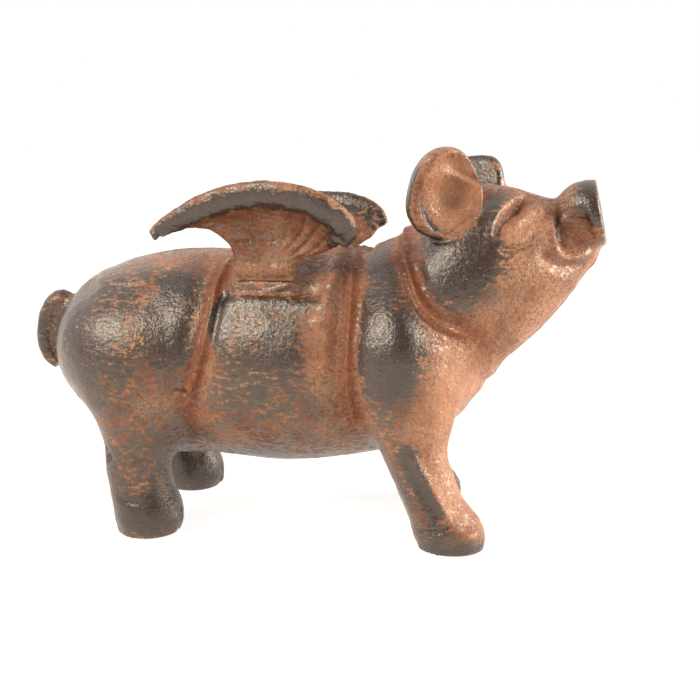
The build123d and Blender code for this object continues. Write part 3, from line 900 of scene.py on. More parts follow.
    def pad(self, p: Array) -> Array:
        """Field of the raised pad that the wing's foot stands on."""
        out, across = seat_directions()
        q = p - self.seat()
        long, wide, high = self.pad_half
        sides = (
            np.abs(q[:, 0]) - long,
            np.abs(q @ across) - wide,
            np.abs(q @ out - self.seat_radius + self.pad_sink) - high,
        )
        return rounded(sides, self.pad_edge)

    def shape(self, p: Array) -> Array:
        """Field of the half's broad forms, cut off just past the joint."""
        torso, head, hind, front = self.loose
        body = merge(torso.field(p), hind.field(p), self.leg_blend)
        body = merge(body, front.field(p), self.leg_blend)
        body = merge(body, head.field(p), self.head_blend)
        body = merge(body, self.nose(p), self.nose_blend)
        body = merge(body, self.snout(p), self.snout_blend)
        centre, frame = self.snout_frame()
        body = carve(body, 0.3 - (p - centre) @ frame[2], 0.3)
        body = merge(body, self.ear(p), self.ear_blend)
        body = merge(body, self.pad(p), self.pad_blend)
        body = carve(body, self.clefts(p), 0.5)
        if self.side is Side.LEFT:
            radius, floor = self.screw_recess
            round_it = np.hypot(p[:, 0] - self.screw_at[0], p[:, 2] - self.screw_at[1])
            body = carve(body, np.maximum(round_it - radius, floor - p[:, 1]), 0.3)
        body = carve(body, p[:, 2], 0.7)
        return np.maximum(body, -self.overrun - p[:, 1])

    def clefts(self, p: Array) -> Array:
        """Field of the notches that split the toes."""
        places = ((-24.4 - self.hind_setback, 15.0), (41.0 - self.front_setback, 13.0))
        half = self.cleft_half
        cuts = [oval(p - np.array([x, y, self.cleft_height]), half, half[1]) for x, y in places]
        return np.minimum(*cuts)

    def rough(self) -> BMesh:
        """Rough the half out of rings, discs and a block."""
        bm = bmesh.new()
        for form in self.loose:
            form.block(bm)
        centre, frame = self.ear_frame()
        self.disc(bm, centre, frame, self.ear_reach)
        centre, frame = self.snout_frame()
        self.disc(bm, centre - 1.5 * frame[2], frame, (6.9, 6.3, 3.4))
        self.disc(bm, centre + np.array([-3.6, 0, 1.3]), frame, (6.0, 4.6, 8.0))
        out, across = seat_directions()
        size = (np.array([13.4, 0, 0]), 12.4 * across, 6 * out)
        bmesh.ops.create_cube(bm, size=1, matrix=placed(size, self.seat() + 20.2 * out))
        return bm

    @staticmethod
    def disc(bm: BMesh, centre: Array, frame: Array, size: Point) -> None:
        """Add a plain oval disc, to be melted into the rest."""
        matrix = placed(np.array(size)[:, None] * frame, centre)
        bmesh.ops.create_cone(
            bm, cap_ends=True, segments=40, radius1=1, radius2=1, depth=1, matrix=matrix
        )

    def build(self) -> Mesh:
        """Sculpt the half casting.

        Returns:
            The finished mesh in millimetres, outward along +Y.
        """
        self.loose = [self.torso(), self.head(), self.hind_leg(), self.front_leg()]
        bm = self.rough()
        bmesh.ops.holes_fill(bm, edges=cut_off(bm, -self.overrun))
        mesh = remeshed(bm, self.voxel)
        p, facing = settled(self.shape, corners(mesh), 4)
        p = self.detailed(p, facing)
        ends = links(mesh)
        p = spread(p, ends, 1, 0.25)
        p[:, 2] = p[:, 2].clip(0)
        put(mesh, p)
        self.close(mesh)
        return mesh

    def side_view(self, p: Array, wander: float, cell: float, seed: int) -> tuple[Array, Array]:
        """Give where points lie in the side view, with a hand's wander on the left half."""
        if self.side is Side.RIGHT:
            return p[:, 0], p[:, 2]
        x = p[:, 0] + wander * unevenness(p, cell, seed)
        return x, p[:, 2] + wander * unevenness(p, cell, seed + 1)

    def detailed(self, p: Array, facing: Array) -> Array:
        """Press the folds, the face's marks and the hand-made unevenness into the skin."""
        x, z = self.side_view(p, 0.5, 14.0, 5)
        # Marks fade out on the belly and round the inner sides of the legs
        seen = np.maximum(ease(facing[:, 1], -0.1, 0.35), ease(facing[:, 2], 0.1, 0.5))
        leg = ease(26.0 - z, 0, 6)
        seen = seen * (1 - leg) + leg * ease(facing[:, 1], -0.1, 0.4)
        # The front foot's marks stand back with it
        front = self.front_setback * ease(x, 5.0, 20.0) * ease(30.0 - z, 0, 26)
        centre, frame = self.ear_frame()
        on_ear = oval((p - centre) @ frame.T, (8.2, 9.8, 5.0), 1.0) < 0
        height = summed(BODY_MARKS, x + front, z) * seen
        height += summed(HEAD_MARKS, x, z) * ease(facing[:, 1], 0.0, 0.3)
        height = np.where(on_ear, 0.0, height)
        height += rough_skin(p, self.skin, self.seed)
        height += self.chin_lip * CHIN.read(p[:, 0], p[:, 2]) * ease(-facing[:, 1], -0.9, -0.6)
        # The soles stay flat, and so does what the joint will cut away
        height = np.where(p[:, 2] < 0.4, 0.0, height)
        height = np.where(p[:, 1] < -0.7, 0.0, height)
        return p + facing * height[:, None]

    def close(self, mesh: Mesh) -> None:
        """Cut the half off square at the joint, close it and sink the joint's edge a little."""
        bm = bmesh.new()
        bm.from_mesh(mesh)
        cut_off(bm, 0.0, 1e-4)
        bm.normal_update()
        rim = [e for e in bm.edges if e.is_boundary]
        for v in {v for e in rim for v in e.verts}:
            v.co -= Vector((v.normal.x, 0, v.normal.z)) * self.seam_depth
            v.co.z = max(v.co.z, 0)
        bmesh.ops.triangle_fill(bm, edges=rim, use_beauty=True)
        bmesh.ops.recalc_face_normals(bm, faces=bm.faces)
        bm.to_mesh(mesh)
        bm.free()

    def paint(self, mesh: Mesh) -> None:
        """Record where the black coat, the bright primer with its painted light, the painted shade
        of the hollows and the worn edges are.
        """
        p = corners(mesh)
        x, z = self.side_view(p, 2.5, 16.0, 8)
        folds = sum(
            np.exp(-((abs(fold.measure(x, z)[0] - 0.4) / 2.3) ** 2)) * ease(z, 22.0, 30.0)
            for fold in (REAR_FOLD, FRONT_FOLD, NECK_FOLD)
        )
        centre, frame = self.ear_frame()
        q = (p - centre) @ frame.T
        a, b, c = q.T
        on_ear = ease(1.15 - np.linalg.norm(q / np.array(self.ear_reach), axis=1), 0, 0.1)
        in_cup = ease(1.0 - np.sqrt(((a - 1.4) / 6.2) ** 2 + (b / 7.3) ** 2), 0, 0.12) * (c > -1.2)
        # The black is rubbed off the ear, but for the front of its rim, and out of its cup
        black = 0.3 + summed(BLACK_PATCHES, x, z)
        rim = -0.1 + 1.4 * ease(0.35 * b - a, 2.0, 5.2) * ease(1.9 - c, 0.0, 0.9)
        rim = rim + self.ear_black
        black = black * (1 - on_ear) + on_ear * rim
        black = black * (1 - in_cup)
        black -= 0.55 * np.clip(folds, 0, 1)
        facing = directions(mesh)
        # Down the chin, along the edge of the joint, the black is taken off and the primer made
        # bright: painted light on that strip
        chin = ease(3.5 - p[:, 1], 0.0, 1.5) * ease(x, 34.0, 38.0)
        chin *= ease(facing[:, 0] - facing[:, 2], 0.7, 1.1)
        black -= 0.5 * chin
        bare = summed(BARE_AND_LIT_PATCHES, x, z) * (1 - on_ear) + in_cup + chin
        orange = np.clip(folds, 0, 1) * (1 - on_ear)
        write_paint(mesh, black, bare, orange, bend(mesh, 2), summed(SHADE_PATCHES, x, z))


# The layer of hollows holds painted shade, and the layer of bright primer holds painted light as
# well as the rubbed primer
PAINT_LAYERS = ("black", "bare", "orange", "worn", "hollow")


def write_paint(
    mesh: Mesh, black: Array, bare: Array, orange: Array, ridges: Array, extra_shade: Array | float = 0.0
) -> None:
    """Store how the paint lies, with its painted light and painted shade, for the painted iron to
    read.

    Args:
        mesh: The finished mesh, in millimetres.
        black: How much of the black top coat is left.
        bare: How far the primer is rubbed bright, and painted light where the lamps fall strongly
            on it.
        orange: How much of the orange wash lies in the folds.
        ridges: How sharply the surface bends outward, in 1/mm.
        extra_shade: How much painted shade lies here besides that in the hollows.
    """
    worn = ease(ridges, 0.12, 0.5)
    # Painted shade, darker where the surface bends inward
    hollow = ease(-ridges, 0.06, 0.4) + extra_shade
    for name, values in zip(PAINT_LAYERS, (black, bare, orange, worn, hollow)):
        layer = mesh.attributes.new(name, "FLOAT", "POINT")
        layer.data.foreach_set("value", np.clip(values, 0, 1).astype(np.float32))


@dataclass
class Wing:
    """One wing casting: a scooped fan with a thick rim, on a block of a foot.

    The rim's rows are (forward, outward, height, thickness) from the trailing tip to the leading
    end, and the root's rows (forward, outward, height) run under the rim, round the foot and up.
    The foot's blocks are (lift from the seat, shift down the side, length, width, height), and
    the skin's rows are (height, length) of its unevenness.
    """

    side: Side
    foot_forward: float
    rim_rows: Rows
    root_rows: Rows
    voxel: float
    seed: int
    scoop: float = 2.4
    blade_thickness: float = 2.0
    seat_radius: float = 23.1
    fan_at: Pair = (1.0, 55.5)
    groove_depth: float = 0.34
    grooves_round: float = 34.0
    rim_reach: float = 3.3
    blocks: Rows = (
        (1.7, 0.0, 12.8, 11.6, 3.4),
        (3.6, 0.4, 11.6, 7.4, 4.6),
        (5.4, 1.6, 12.6, 4.4, 4.6),
    )
    skin: Rows = ((0.10, 2.8), (0.07, 1.1))

    @staticmethod
    def along(rows: Sequence[Sequence[float]], share: Array) -> Array:
        """Walk along a smooth curve through rows by a share of their number."""
        table = np.array(rows, float)
        knots = np.linspace(0, 1, len(table))
        return np.stack([through(share, knots, column) for column in table.T], 1)

    def blade(self, bm: BMesh) -> None:
        """Stretch a grid between the blade's lower edge and its rim, and thicken it."""
        made = bmesh.ops.create_grid(bm, x_segments=48, y_segments=18, size=1)
        verts = made["verts"]
        share = np.array([v.co.x for v in verts]) * 0.5 + 0.5
        up = np.array([v.co.y for v in verts]) * 0.5 + 0.5
        low = self.along(self.root_rows, share)
        high = self.along(self.rim_rows, share)[:, :3]
        p = low + (high - low) * up[:, None]
        # Deepest half way up, and none at the rim and the root
        deep = 4 * up * (1 - up) * np.sin(math.pi * share.clip(0, 1)) ** 0.7
        p[:, 1] -= self.scoop * deep
        p[:, 2] += 0.2 * self.scoop * deep
        for v, at in zip(verts, p):
            v.co = at
        faces = list({f for v in verts for f in v.link_faces})
        bmesh.ops.recalc_face_normals(bm, faces=faces)
        bmesh.ops.solidify(bm, geom=faces, thickness=self.blade_thickness)

    def rim(self, bm: BMesh) -> None:
        """Run a thick lip along the blade's upper edge."""
        rows = self.along(self.rim_rows, np.linspace(0, 1, 30))
        ways = np.gradient(rows[:, :3], axis=0)
        matrices = []
        for row, way in zip(rows, ways):
            way = way / np.linalg.norm(way)
            out = np.array([0, 1.0, 0]) - way * way[1]
            out /= np.linalg.norm(out)
            up = np.cross(way, out)
            lean = 0.35 * up + out
            matrices.append(placed((lean * row[3] * 0.66, up * row[3], way), row[:3]))
        rings(bm, matrices, 20)

    def foot(self, bm: BMesh) -> None:
        """Stand the foot block on its seat, with a web from it up into the blade."""
        out, across = seat_directions()
        seat = np.array([self.foot_forward, 0, AXIS_HEIGHT]) + self.seat_radius * out
        forward = np.array([1.0, 0, 0])
        for lift, lean, long, wide, tall in self.blocks:
            at = seat + out * lift + across * lean
            block = placed((forward * long, across * wide, out * tall), at)
            bmesh.ops.create_cube(bm, size=1, matrix=block)

    def build(self) -> Mesh:
        """Sculpt the wing in millimetres, outward along +Y."""
        bm = bmesh.new()
        self.blade(bm)
        self.rim(bm)
        self.foot(bm)
        mesh = remeshed(bm, self.voxel)
        p = spread(corners(mesh), links(mesh), 7, 0.5)
        worn_down = spread(p, links(mesh), 60, 0.5)
        out, _ = seat_directions()
        lift = p @ out - self.seat_radius - AXIS_HEIGHT * out[2]
        # The blocks of the foot are worn down into each other, above the seat
        share = ease(10.5 - lift, 0, 4) * ease(lift, 0.2, 1.2)
        share *= ease(8.5 - abs(p[:, 0] - self.foot_forward), 0, 1)
        p += share[:, None] * (worn_down - p)
        put(mesh, p)
        put(mesh, p + directions(mesh) * self.marks(p, directions(mesh))[:, None])
        return mesh

    def to_rim(self, p: Array) -> tuple[Array, Array]:
        """Give each point's distance from the rim's middle and its share along the rim."""
        shares = np.linspace(0, 1, 70)
        near, where = np.full(len(p), FAR), np.zeros(len(p))
        for share, row in zip(shares, self.along(self.rim_rows, shares)):
            away = np.linalg.norm(p - row[:3], axis=1)
            where = np.where(away < near, share, where)
            near = np.minimum(near, away)
        return near, where

    def marks(self, p: Array, facing: Array) -> Array:
        """Give the heights of the feather grooves and of the ragged cast edges."""
        dx, dz = p[:, 0] - self.foot_forward - self.fan_at[0], p[:, 2] - self.fan_at[1]
        wander = 0.09 * unevenness(p, 5.0, self.seed + 3)
        waves = 0.5 + 0.5 * np.cos((np.arctan2(dz, dx) + wander) * self.grooves_round)
        near, _ = self.to_rim(p)
        grooves = -self.groove_depth * waves**3
        grooves *= ease(np.hypot(dx, dz), 5.0, 9.0) * ease(near, 2.0, 3.4)
        ahead = ease(dx, 1.0, 8.0)
        inner = ease(-facing[:, 1], 0.0, 0.5)
        # On the outer face the grooves show at the front only
        grooves *= np.maximum(inner, 0.15 + 0.85 * ahead)
        on_rim = ease(3.2 - near, 0, 1)
        ragged = 0.22 * unevenness(p, 1.5, self.seed + 2) * on_rim * ease(-facing[:, 2], 0.0, 0.6)
        return grooves + rough_skin(p, self.skin, self.seed) + ragged

    def paint(self, mesh: Mesh) -> None:
        """Blacken the rim and the leading end, heaviest on the rim's underside as painted shade,
        and leave the scoop red.
        """
        p, facing = corners(mesh), directions(mesh)
        near, where = self.to_rim(p)
        # The black is heaviest where the rim faces down: partly the black coat, partly painted
        # shade under the lip
        lower = ease(-facing[:, 2], -0.35, 0.25)
        # The rim's black has a ragged edge, with gaps where it was rubbed
        near = near + unevenness(p, 1.6, self.seed + 4)
        on_rim = ease(self.rim_reach - near, 0, 1)
        black = ease(self.rim_reach - near, 0.0, 0.9) * (0.12 + lower)
        black -= 0.3 * ease(where, 0.75, 0.95) * on_rim * (1 - lower)
        black -= 0.3 * ease(unevenness(p, 1.3, self.seed + 5), 0.15, 0.7) * on_rim
        black += 0.14 + 0.5 * ease(-facing[:, 1], 0.2, 0.6) * ease(4.5 - near, 0, 2)
        wash = 0.5 * ease(near, 2.5, 3.4) * ease(7.5 - near, 0, 3)
        write_paint(mesh, black, 0.25 * ease(near, 4.0, 8.0), wash, bend(mesh, 2))


RIGHT_RIM = (
    (-22.7, 24.2, 65.2, 0.6),
    (-20.0, 24.6, 66.6, 1.4),
    (-15.6, 25.0, 68.5, 2.0),
    (-9.6, 25.2, 71.0, 2.3),
    (-2.5, 25.2, 72.6, 2.4),
    (4.6, 25.2, 72.6, 2.4),
    (10.6, 24.9, 70.9, 2.5),
    (14.6, 24.0, 68.3, 2.5),
    (16.2, 22.6, 65.6, 2.2),
    (14.9, 20.8, 62.9, 1.3),
)
RIGHT_ROOT = (
    (-22.6, 23.8, 64.7),
    (-19.8, 23.0, 64.9),
    (-15.8, 21.8, 65.8),
    (-12.0, 19.9, 65.4),
    (-9.6, 16.9, 62.6),
    (-7.2, 14.8, 59.8),
    (-1.0, 14.4, 59.6),
    (5.6, 15.0, 59.6),
    (9.8, 16.8, 60.4),
    (13.4, 19.6, 61.9),
)
LEFT_RIM = (
    (-26.9, 24.2, 63.0, 0.8),
    (-24.0, 24.6, 64.1, 1.4),
    (-19.6, 25.0, 65.6, 1.9),
    (-13.6, 25.2, 67.2, 2.1),
    (-6.5, 25.2, 68.1, 2.1),
    (0.6, 25.2, 68.1, 2.1),
    (7.0, 25.0, 67.4, 2.0),
    (11.6, 24.6, 65.3, 1.7),
    (13.9, 23.8, 62.5, 1.0),
)
LEFT_ROOT = (
    (-26.6, 23.8, 62.8),
    (-23.8, 23.0, 63.2),
    (-19.8, 21.8, 63.9),
    (-16.4, 19.9, 63.4),
    (-14.2, 16.9, 61.2),
    (-11.2, 14.8, 59.4),
    (-4.0, 14.4, 59.2),
    (3.0, 17.0, 58.0),
    (9.0, 20.6, 57.8),
    (12.6, 23.0, 61.2),
)


@dataclass
class Tail:
    """Curled tail of two rolls side by side, joined by the turn at its top.

    Each roll's rows are (forward, height, half thickness), and the skin's (height, length).
    """

    voxel: float
    seed: int = 40
    outer: Rows = (
        (-54.6, 47.4, 1.9),
        (-57.0, 47.9, 2.3),
        (-59.2, 45.9, 2.3),
        (-60.6, 42.2, 2.4),
        (-60.9, 38.2, 2.4),
        (-60.0, 35.0, 2.2),
        (-58.3, 33.3, 1.8),
    )
    outer_half_width: float = 2.9
    inner: Rows = (
        (-50.6, 47.0, 2.4),
        (-54.0, 46.6, 2.5),
        (-56.6, 44.2, 2.4),
        (-57.5, 40.6, 2.3),
        (-57.2, 36.9, 2.2),
        (-56.4, 34.0, 1.9),
    )
    inner_half_width: float = 2.75
    skin: Rows = ((0.10, 2.5), (0.05, 1.0))

    def build(self) -> Mesh:
        """Sculpt the tail in millimetres."""
        bm = bmesh.new()
        self.roll(bm, np.array(self.outer), self.outer_half_width)
        self.roll(bm, np.array(self.inner), self.inner_half_width)
        mesh = remeshed(bm, self.voxel)
        p = spread(corners(mesh), links(mesh), 3, 0.5)
        put(mesh, p)
        put(mesh, p + directions(mesh) * rough_skin(p, self.skin, self.seed)[:, None])
        return mesh

    def roll(self, bm: BMesh, rows: Array, half_width: float) -> None:
        """Run one roll of the tail along its points."""
        share = np.linspace(0, 1, 18)
        knots = np.linspace(0, 1, len(rows))
        x, z, size = (through(share, knots, rows[:, k]) for k in range(3))
        way = np.gradient(np.stack([x, z], 1), axis=0)
        way /= np.linalg.norm(way, axis=1)[:, None]
        matrices = []
        for k in range(len(share)):
            up = np.array([-way[k, 1], 0, way[k, 0]]) * size[k]
            wide = np.array([0, half_width * size[k] / size.max(), 0])
            matrices.append(placed((wide, up, (way[k, 0], 0, way[k, 1])), (x[k], 0, z[k])))
        rings(bm, matrices, 24)

    def paint(self, mesh: Mesh) -> None:
        """Darken the tail's outer roll and leave its root orange."""
        p = corners(mesh)
        black = 0.6 + 0.4 * ease(-p[:, 0], 60.0, 63.0)
        orange = ease(p[:, 0], -59.0, -56.5)
        write_paint(mesh, black, 0.3 * orange, orange, bend(mesh, 2))


# Finishes


def linear(code: str) -> tuple[float, float, float, float]:
    """Turn an sRGB hex value into the linear colour that the shaders read."""
    parts = [int(code[i : i + 2], 16) / 255 for i in (1, 3, 5)]
    r, g, b = ((c / 12.92) if c <= 0.04045 else ((c + 0.055) / 1.055) ** 2.4 for c in parts)
    return r, g, b, 1.0


def node(tree: Tree, kind: str, settings: dict, inputs: dict) -> bpy.types.Node:
    """Add a node with its settings, and set or link its inputs.

    Args:
        tree: The material's node tree.
        kind: The node's type.
        settings: Its properties.
        inputs: Values or output sockets, by the input's name or number.

    Returns:
        The new node.
    """
    made = tree.nodes.new(kind)
    for name, value in settings.items():
        setattr(made, name, value)
    for name, value in inputs.items():
        if isinstance(value, Socket):
            tree.links.new(value, made.inputs[name])
        else:
            made.inputs[name].default_value = value
    return made


def emptied(owner: Material | bpy.types.World) -> Tree:
    """Give the node tree of a material or a world, with nothing in it."""
    owner.use_nodes = True
    owner.node_tree.nodes.clear()
    return owner.node_tree


SMOOTH = {"interpolation_type": "SMOOTHSTEP"}
# What a word in a table of nodes stands for: type, settings, inputs and output of the node
WORDS = {
    "plus": ("ShaderNodeMath", {"operation": "ADD"}, (0, 1), 0),
    "minus": ("ShaderNodeMath", {"operation": "SUBTRACT"}, (0, 1), 0),
    "times": ("ShaderNodeMath", {"operation": "MULTIPLY"}, (0, 1), 0),
    "larger": ("ShaderNodeMath", {"operation": "MAXIMUM"}, (0, 1), 0),
    "stretch": ("ShaderNodeVectorMath", {"operation": "MULTIPLY"}, (0, 1), 0),
    "length": ("ShaderNodeVectorMath", {"operation": "LENGTH"}, (0,), "Value"),
    "facing": ("ShaderNodeVectorMath", {"operation": "DOT_PRODUCT"}, (0, 1), "Value"),
    "noise": ("ShaderNodeTexNoise", {}, ("Vector", "Scale", "Detail", "Roughness"), "Fac"),
    "window": ("ShaderNodeMapRange", SMOOTH, ("Value", "From Min", "From Max"), 0),
    "between": ("ShaderNodeMapRange", {}, ("Value", "To Min", "To Max"), 0),
    "graded": ("ShaderNodeMapRange", {}, ("Value", "From Min", "From Max", "To Min", "To Max"), 0),
    "blend": ("ShaderNodeMix", {"data_type": "RGBA"}, (0, 6, 7), 2),
    "matte": ("ShaderNodeBsdfDiffuse", {}, ("Color",), 0),
    "glow": ("ShaderNodeEmission", {}, ("Color", "Strength"), 0),
    "backdrop": ("ShaderNodeBackground", {}, ("Color", "Strength"), 0),
    "both": ("ShaderNodeAddShader", {}, (0, 1), 0),
    "either": ("ShaderNodeMixShader", {}, (0, 1, 2), 0),
}


def wired(tree: Tree, value: object, known: Known) -> object:
    """Turn an entry of a table of nodes into something that an input takes.

    Args:
        tree: Where nodes are added.
        value: A number, a colour, the name of an output, or a word and its inputs.
        known: Outputs by name.

    Returns:
        The number or colour as it is, or an output.
    """
    if isinstance(value, str):
        return known[value]
    if not isinstance(value, tuple) or not isinstance(value[0], str):
        return value
    kind, settings, slots, output = WORDS[value[0]]
    inputs = {slot: wired(tree, part, known) for slot, part in zip(slots, value[1:])}
    return node(tree, kind, settings, inputs).outputs[output]


def tabled(tree: Tree, table: dict[str, object], known: Known) -> Known:
    """Add the nodes of a whole table, and give its outputs by name with the known ones."""
    found = dict(known)
    for name, value in table.items():
        found[name] = wired(tree, value, found)
    return found


def scale(size_mm: float) -> float:
    """Turn the real size of a pattern's swell into the scale that a noise reads."""
    return 1 / (size_mm * METRE)


def surfaced(tree: Tree, height: Socket, relief: Pair, inputs: dict[str, object]) -> None:
    """End a material's nodes in a surface with a grain.

    Args:
        tree: The material's node tree.
        height: The grain.
        relief: How strongly the grain shows, and its depth in millimetres.
        inputs: The surface's other inputs.
    """
    strength, depth = relief
    raised = {"Strength": strength, "Distance": depth * METRE, "Height": height}
    bump = node(tree, "ShaderNodeBump", {}, raised).outputs["Normal"]
    shader = node(tree, "ShaderNodeBsdfPrincipled", {}, {**inputs, "Normal": bump})
    node(tree, "ShaderNodeOutputMaterial", {}, {"Surface": shader.outputs[0]})


@dataclass(frozen=True)
class PaintedCastIron:
    """Sand-cast iron under a brick red primer, with a black coat rubbed back by hand.

    To the eye it is a leathery grain under a soft gloss: an umber haze with red flecks where the
    black is rubbed thin, black on the swellings, orange in the folds, brassy on a worn edge. Its
    primer also carries painted light where the lamps fall brightly, and painted shade in hollows.
    """

    primer: str = "#8A5A45"
    # Also the painted light, where the primer is made bright
    primer_light: str = "#B98A71"
    # Also the painted shade in the hollows, besides the dark specks
    primer_deep: str = "#5E3626"
    wash: str = "#874826"
    haze: str = "#4A3C2F"
    black: str = "#1C1612"
    brass: str = "#B2925A"
    # What the rag rubbed off in one place, and the flecks that it left
    blotch_mm: float = 4.2
    fleck_mm: float = 0.95
    fleck_stretch: Point = (0.55, 1.0, 1.3)
    speckle_mm: float = 0.5
    cloud_mm: float = 9.0
    # Casting sand is 0.2 to 0.4 mm. That is 1 or 2 pixels of the render, too fine to show, so
    # the skin is drawn from clusters of grains, with single grains faint over them
    grain_mm: float = 0.75
    fine_mm: float = 0.32
    relief: Pair = (1.0, 0.20)
    gloss_roughness: float = 0.25
    primer_roughness: float = 0.52
    gloss_shine: float = 0.6
    primer_shine: float = 0.3
    ior: float = 1.62

    def table(self) -> dict[str, object]:
        """Give the patterns, the coats and the gloss as a table of nodes."""
        deep, haze = linear(self.primer_deep), linear(self.haze)
        light = linear(self.primer_light)
        return {
            "streaked": ("stretch", "place", self.fleck_stretch),
            "blotches": ("noise", "place", scale(self.blotch_mm), 3.0, 0.6),
            "flecks": ("noise", "streaked", scale(self.fleck_mm), 2.0, 0.5),
            "speckles": ("noise", "place", scale(self.speckle_mm), 3.0, 0.6),
            "clouds": ("noise", "place", scale(self.cloud_mm), 3.0, 0.6),
            "skin": ("noise", "place", scale(self.grain_mm), 3.0, 0.6),
            "fine": ("noise", "place", scale(self.fine_mm), 2.0, 0.6),
            # How thick the black coat is, where it covers and where it is solid
            "thick": ("plus", "black", ("times", ("minus", "blotches", 0.5), 0.9)),
            "small": ("minus", "flecks", 0.5),
            "covered": ("window", ("plus", "thick", ("times", "small", 2.8)), 0.16, 0.28),
            "solid": ("window", ("plus", "thick", ("times", "small", 1.5)), 0.36, 0.78),
            # The primer: clouded, made bright where it is rubbed and where it is painted light,
            # washed orange, dirty in its grain, and darkened in the hollows as painted shade
            "clouded": ("blend", ("window", "clouds", 0.35, 0.65), linear(self.primer), light),
            "wiped": ("blend", ("times", "bare", 0.5), "clouded", light),
            "washed": ("blend", ("times", "orange", 0.8), "wiped", linear(self.wash)),
            "mottled": ("minus", 0.6, ("times", "bare", 0.4)),
            "specks": ("times", ("window", "speckles", 0.5, 0.36), "mottled"),
            "speckled": ("blend", "specks", "washed", deep),
            "pits": ("times", ("window", "skin", 0.5, 0.36), "mottled"),
            "pitted": ("blend", "pits", "speckled", haze),
            "primed": ("blend", ("times", "hollow", 0.6), "pitted", deep),
            # The black coat over it
            "coat": ("blend", "solid", haze, linear(self.black)),
            "opaque": ("plus", ("times", ("window", "black", 0.02, 0.42), 0.76), 0.14),
            "coated": ("blend", ("times", "covered", "opaque"), "primed", "coat"),
            # Brassy glints, on worn edges and here and there
            "edges": ("times", "worn", ("window", "speckles", 0.56, 0.66)),
            "spots": ("window", "speckles", 0.69, 0.74),
            "glints": ("larger", ("times", "edges", 0.8), "spots"),
            "colour": ("blend", "glints", "coated", linear(self.brass)),
            # Gloss, and the height of the grain
            "roughness": ("between", "covered", self.primer_roughness, self.gloss_roughness),
            "shine": ("between", "covered", self.primer_shine, self.gloss_shine),
            "grain": ("plus", "skin", ("times", "fine", 0.35)),
            "height": ("plus", "grain", ("times", "covered", 0.1)),
        }

    def make(self) -> Material:
        """Build the material."""
        material = bpy.data.materials.new("painted_cast_iron_rubbed")
        tree = emptied(material)
        known = {"place": node(tree, "ShaderNodeTexCoord", {}, {}).outputs["Object"]}
        for name in PAINT_LAYERS:
            settings = {"attribute_name": name}
            known[name] = node(tree, "ShaderNodeAttribute", settings, {}).outputs["Fac"]
        got = tabled(tree, self.table(), known)
        inputs = {
            "Base Color": got["colour"],
            "Roughness": got["roughness"],
            "IOR": self.ior,
            "Specular IOR Level": got["shine"],
        }
        surfaced(tree, got["height"], self.relief, inputs)
        return material


@dataclass(frozen=True)
class ZincPlatedSteel:
    """Steel screws and washers, plated with zinc: a grey shine, clouded by a fine grain."""

    bright: str = "#B9B7B0"
    dull: str = "#7E7A72"
    # The plating's own grain is finer than 0.1 mm, and is drawn coarser so that it shows
    grain_mm: float = 0.18
    shiny_roughness: float = 0.28
    dull_roughness: float = 0.5
    relief: Pair = (0.2, 0.02)

    def make(self) -> Material:
        """Build the material."""
        material = bpy.data.materials.new("zinc_plated_steel")
        tree = emptied(material)
        known = {"place": node(tree, "ShaderNodeTexCoord", {}, {}).outputs["Object"]}
        table = {
            "grain": ("noise", "place", scale(self.grain_mm), 3.0),
            "colour": ("blend", "grain", linear(self.dull), linear(self.bright)),
            "roughness": ("between", "grain", self.shiny_roughness, self.dull_roughness),
        }
        got = tabled(tree, table, known)
        inputs = {"Base Color": got["colour"], "Metallic": 1.0, "Roughness": got["roughness"]}
        surfaced(tree, got["grain"], self.relief, inputs)
        return material


# Studio


